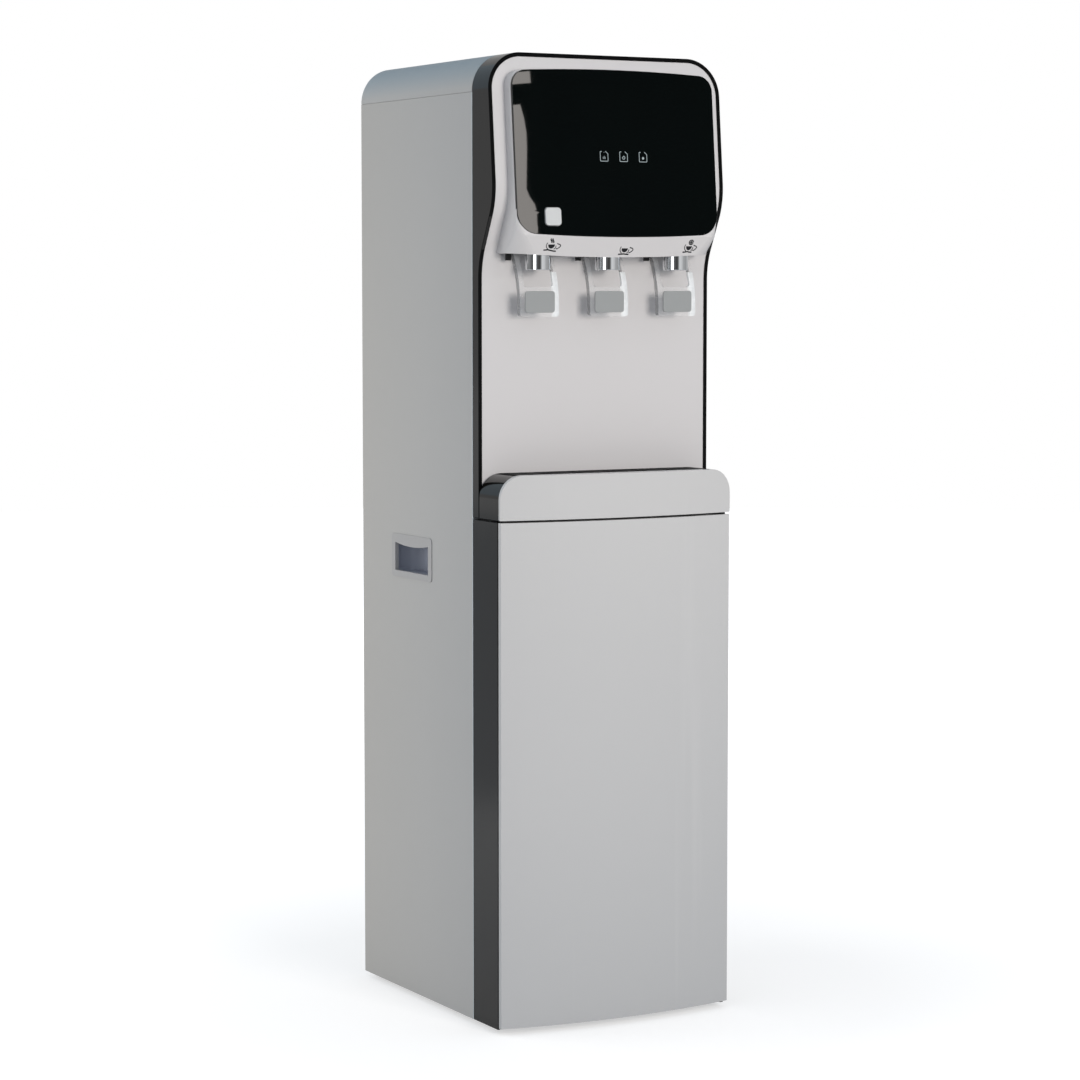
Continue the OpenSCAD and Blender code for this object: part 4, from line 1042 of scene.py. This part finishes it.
class DISPENSER_OT_add_panel_symbols(bpy.types.Operator):
    """Draw the three lit symbols on the control panel"""

    bl_idname = "dispenser.add_panel_symbols"
    bl_label = "Panel symbols"

    def glyph(self, name, side):
        """The small drawing inside a symbol's frame."""
        mark, thin = 0.06 * side, SYMBOL_THICK
        if name == "hot":
            return [stroke(scaled([(x, -0.26), (x, top)], side), mark, thin)
                    for x, top in ((-0.12, -0.06), (0.0, 0.04), (0.12, -0.06))]
        if name == "power":
            return [stroke(scaled(bow((0, -0.1), 0.15, -215, 95, 18), side), 1.3 * mark, thin),
                    stroke(scaled([(-0.01, -0.06), (-0.07, 0.06)], side), mark, thin)]
        return [stroke(scaled([(-0.13 * math.cos(t), -0.12 - 0.13 * math.sin(t)),
                               (0.13 * math.cos(t), -0.12 + 0.13 * math.sin(t))], side),
                       1.5 * mark, thin) for t in map(math.radians, (0, 60, 120))]

    def execute(self, context):
        sizes = context.scene.dispenser_sizes
        side, line = sizes.symbol, sizes.line
        glow = lit_symbol("lit_symbol", (0.42, 0.49, 0.51), 1.0)
        faint = lit_symbol("lit_glyph", (0.34, 0.40, 0.42), 1.0)
        thin = SYMBOL_THICK
        outline = [(-0.27, 0.48), (-0.38, 0.50), (-0.45, 0.45), (-0.45, -0.43), (-0.40, -0.49),
                   (0.40, -0.49), (0.45, -0.43), (0.45, 0.27), (0.16, 0.52)]
        for number, name in enumerate(("hot", "power", "cool")):
            parts = [stroke(scaled(outline, side), line, thin)]
            if name == "hot":
                parts.append(stroke(scaled([(-0.02, 0.41), (0.03, 0.38)], side), 0.5 * line, thin))
            tag = coat(joined(parts), glow)
            inner = coat(joined(self.glyph(name, side)), glow if name == "cool" else faint)
            drawing = joined([tag, inner])
            foot = PANEL_FOOT + PANEL_UP * sizes.symbol_height
            foot.x = SYMBOL_MIDDLE + (number - 1) * sizes.symbol_pitch
            lay(drawing, foot, RIGHT, PANEL_UP, SYMBOL_LIFT)
            hang(drawing, "panel_symbol_" + name, "control_panel")
        return {"FINISHED"}


class DISPENSER_OT_add_cup_symbols(bpy.types.Operator):
    """Print a cup symbol over each tap"""

    bl_idname = "dispenser.add_cup_symbols"
    bl_label = "Cup symbols"

    def cup(self, name, bowl, thin):
        """A filled cup inside its outline, with handle and saucer, about the bowl's middle."""
        m = bowl / 8
        sides = {"hot": 1.0, "ambient": 0.93, "cold": 0.88}[name]
        left = [(-4.9, 4.0), (-5.6, 2.9), (-5.9, 1.4), (-5.6, -0.3), (-4.6, -2.0), (-3.0, -3.2)]
        right = [(3.4, -3.1), (4.7, -1.9), (5.3, -0.4), (5.4, 1.0)]
        handle = [(6.0, 3.3), (7.6, 2.7), (9.5, 2.3), (10.7, 0.7), (9.5, -0.9), (7.0, -2.7),
                  (5.8, -2.0)]
        saucer = {
            "hot": [(-8.3, -4.0), (-6.0, -3.9), (-3.4, -3.6), (0.0, -4.3), (3.2, -5.0),
                    (6.4, -5.2)],
            "ambient": [(-7.2, -4.5), (-4.4, -4.3), (-0.4, -4.0), (3.4, -4.4), (6.2, -4.6)],
            "cold": [(-7.2, -4.5), (-4.0, -4.4), (-1.0, -3.9), (1.6, -4.4), (5.0, -4.6)],
        }[name]
        parts = [blot((0, 2.2 * m), (8 * m * sides, 9 * m), thin, 2.2 * m)]
        for path, width in ((left, 1.0), (right, 1.0), (handle, 1.25), (saucer, 1.6)):
            parts.append(stroke(scaled([(x * sides, y) for x, y in path], m), width * m, thin))
        if name == "hot":
            for x in (-1.2, 0.9):
                wave = [(x - 0.5, 8.7), (x - 0.7, 7.4), (x + 0.2, 6.2), (x + 1.0, 5.0),
                        (x + 0.7, 3.9)]
                parts.append(stroke(scaled(wave, m), 1.7 * m, thin))
        elif name == "cold":
            parts.append(stroke(scaled(bow((1.6, 6.5), 2.5, 0, 340, 20), m), 1.3 * m, thin))
            for turn in map(math.radians, (0, 60, 120)):
                c, s = 2.0 * math.cos(turn), 2.0 * math.sin(turn)
                parts.append(stroke(scaled([(1.6 - c, 6.5 - s), (1.6 + c, 6.5 + s)], m), 1.0 * m,
                                    thin))
        return parts

    def execute(self, context):
        ink = printed_ink("symbol_ink", context.scene.dispenser_colours.ink)
        bowl = context.scene.dispenser_sizes.cup
        up = (CHIN_TOP - CHIN_FOOT).normalized()
        for name, across, height in CUP_PLACES:
            drawing = joined(self.cup(name, bowl, INK_THICK))
            foot = CHIN_FOOT + up * height
            foot.x = across
            lay(drawing, foot, RIGHT, up)
            hang(coat(drawing, ink), "cup_symbol_" + name, "control_panel")
        return {"FINISHED"}


class Room(Nodes):
    """The light from all round: even on matt surfaces, set out by direction in gloss."""

    EVEN = (0.93, 1.0, 1.08)
    WINDOW = (5.4, 5.1, 4.85)
    STRIP = (3.2, 3.3, 3.4)
    GROUND = (0.6, 0.6, 0.6)

    def __init__(self, strength):
        world = bpy.data.worlds.new("studio_room")
        world.use_nodes = True
        bpy.context.scene.world = world
        super().__init__(world.node_tree)
        toward = self.node("ShaderNodeTexCoord", output="Generated")
        x, y, z = (self.node("ShaderNodeSeparateXYZ", {}, {0: toward}, axis) for axis in "XYZ")
        # 0 behind the cabinet, rising through its left, its front at 0.5 and its right
        around = x.math("ARCTAN2", x, -y) / (2 * math.pi) + 0.5
        low = self.ramp(around, *[(0.5 + a / 360, g) for a, g in (
            (-180, 0.40), (-151, 0.42), (-135, 0.30), (-105, 0.22), (-84, 0.10), (-68, 0.12),
            (-40, 0.16), (-31, 0.10), (-17, 0.05), (-6, 0.09), (0, 0.30), (9, 0.72),
            (33, 0.62), (46, 0.42), (79, 0.34), (110, 0.55), (180, 0.40))])
        high = self.ramp(around, (0.0, (0.42, 0.50, 0.56)), (0.23, (0.42, 0.50, 0.56)),
                         (0.333, 0.10), (0.514, 0.02), (0.667, 0.02), (0.806, 0.5), (1.0, 0.5))
        walls = self.mix(self.ramp(z, (0.07, 0), (0.105, 1)), low, high)
        # a curtained window ahead, drawn aside lower down, and a strip light at the left
        curtain = self.ramp((z - 0.170) / 0.042, (0.019, 0.54), (0.195, 0.60), (0.25, 0.52),
                            (0.314, 0.275), (0.371, 0.16), (0.69, 0.375), (0.793, 0.40),
                            (0.897, 0.34), (1.0, 0.205))
        window = (around < curtain * 0.001 + 0.5802) * (z > 0.1708) * (z < 0.212)
        window |= (around < 0.58105) * (z > 0.2184) * (z < 0.2221)
        walls = self.mix(window * (around > 0.5417), walls, self.WINDOW)
        strip = (around > 0.3111) * (around < 0.3736) * (z < 0.35)
        walls = self.mix(strip, walls, self.STRIP)
        walls = self.mix(self.ramp(z + 0.1, (0.064, 0), (0.070, 1)), self.GROUND, walls)
        even = [strength * c for c in self.EVEN]
        light = self.mix(self.ray("Is Glossy Ray"), even, walls)
        white = self.ray("Is Camera Ray") | self.ray("Is Transmission Ray")
        self.link(self.tree.nodes["Background"].inputs["Color"],
                  self.mix(white, light, (1.0, 1.0, 1.0)))


class DISPENSER_OT_set_stage(bpy.types.Operator):
    """Add the floor, the lamps, the room light and the camera"""

    bl_idname = "dispenser.set_stage"
    bl_label = "Studio"

    def floor(self):
        """White studio paper that the camera sees at full white away from the shadow."""
        clear_selection()
        bpy.ops.mesh.primitive_circle_add(vertices=128, radius=8.0, fill_type="NGON")
        floor = bpy.context.object
        floor.name = "studio_floor"
        edit(floor)
        bpy.ops.mesh.inset(thickness=4.0)
        bpy.ops.mesh.inset(thickness=2.0)
        clear_selection()
        f = Finish("studio_paper")
        far = f.ramp((f.axis("X") ** 2 + f.axis("Y") ** 2) ** 0.5 / 4, (0.1, 0.56), (0.45, 1.0))
        glow = f.mix(f.ray("Is Camera Ray"), (0.0, 0.0, 0.0), far)
        coat(floor, f.finished(
            Base_Color=f.mix(f.noise(60, 3), (0.54, 0.54, 0.54), (0.56, 0.56, 0.56)),
            Roughness=0.9,
            Specular_IOR_Level=0.0,
            Emission_Color=glow,
            Emission_Strength=1.0,
        ))

    def lamp(self, name, place, aim, size, power, colour):
        """A soft lamp that gloss doesn't mirror; the room's own bright parts are for that."""
        clear_selection()
        bpy.ops.object.light_add(type="AREA", location=place)
        lamp = bpy.context.object
        lamp.name = name
        lamp.data.shape = "RECTANGLE"
        lamp.data.size, lamp.data.size_y = size
        lamp.data.energy = power
        lamp.data.color = colour
        lamp.visible_glossy = False
        lamp.rotation_euler = (Vector(aim) - Vector(place)).to_track_quat("-Z", "Y").to_euler()

    def execute(self, context):
        studio = context.scene.dispenser_studio
        self.floor()
        self.lamp("key_lamp", place=(0.16, -2.5, 1.14), aim=(0, -0.1, 0.65), size=(0.62, 0.62),
                  power=studio.key, colour=(1.0, 0.95, 0.90))
        self.lamp("fill_lamp", place=(-1.3, 0.75, 0.52), aim=(0, 0.1, 0.52), size=(0.9, 1.2),
                  power=studio.fill, colour=(1.0, 0.98, 0.94))
        Room(studio.sky)
        bpy.ops.object.camera_add(
            location=studio.place, rotation=(math.radians(90) - studio.tilt, 0, -studio.turn))
        camera = context.object
        camera.name = "main_camera"
        camera.data.lens = studio.lens
        camera.data.sensor_width = 36.0
        context.scene.camera = camera
        context.scene.view_settings.view_transform = "Standard"
        return {"FINISHED"}


class DISPENSER_PT_pieces(bpy.types.Panel):
    """Lists the steps that dress the dispenser"""

    bl_idname = "DISPENSER_PT_pieces"
    bl_label = "Water Dispenser"
    bl_space_type = "VIEW_3D"
    bl_region_type = "UI"
    bl_category = "Dispenser"

    def draw(self, context):
        for step in STEPS:
            self.layout.operator(step.bl_idname)
        for group in GROUPS:
            settings = getattr(context.scene, group)
            box = self.layout.box()
            for name in settings.__annotations__:
                box.prop(settings, name)


GROUPS = {
    "dispenser_colours": DispenserColours,
    "dispenser_sizes": DispenserSizes,
    "dispenser_studio": DispenserStudio,
}
STEPS = (
    DISPENSER_OT_dress_cabinet,
    DISPENSER_OT_dress_front,
    DISPENSER_OT_dress_grips,
    DISPENSER_OT_dress_controls,
    DISPENSER_OT_dress_taps,
    DISPENSER_OT_dress_tray,
    DISPENSER_OT_dress_rear,
    DISPENSER_OT_dress_filter_bay,
    DISPENSER_OT_dress_water_system,
    DISPENSER_OT_add_panel_symbols,
    DISPENSER_OT_add_cup_symbols,
    DISPENSER_OT_set_stage,
)


def register():
    for kind in (*GROUPS.values(), *STEPS, DISPENSER_PT_pieces):
        bpy.utils.register_class(kind)
    for name, kind in GROUPS.items():
        setattr(bpy.types.Scene, name, bpy.props.PointerProperty(type=kind))


def unregister():
    for name in GROUPS:
        delattr(bpy.types.Scene, name)
    for kind in (DISPENSER_PT_pieces, *reversed(STEPS), *GROUPS.values()):
        bpy.utils.unregister_class(kind)


def main():
    register()
    for step in STEPS:
        group, name = step.bl_idname.split(".")
        getattr(getattr(bpy.ops, group), name)()
    clear_selection()


if __name__ == "__main__":
    main()
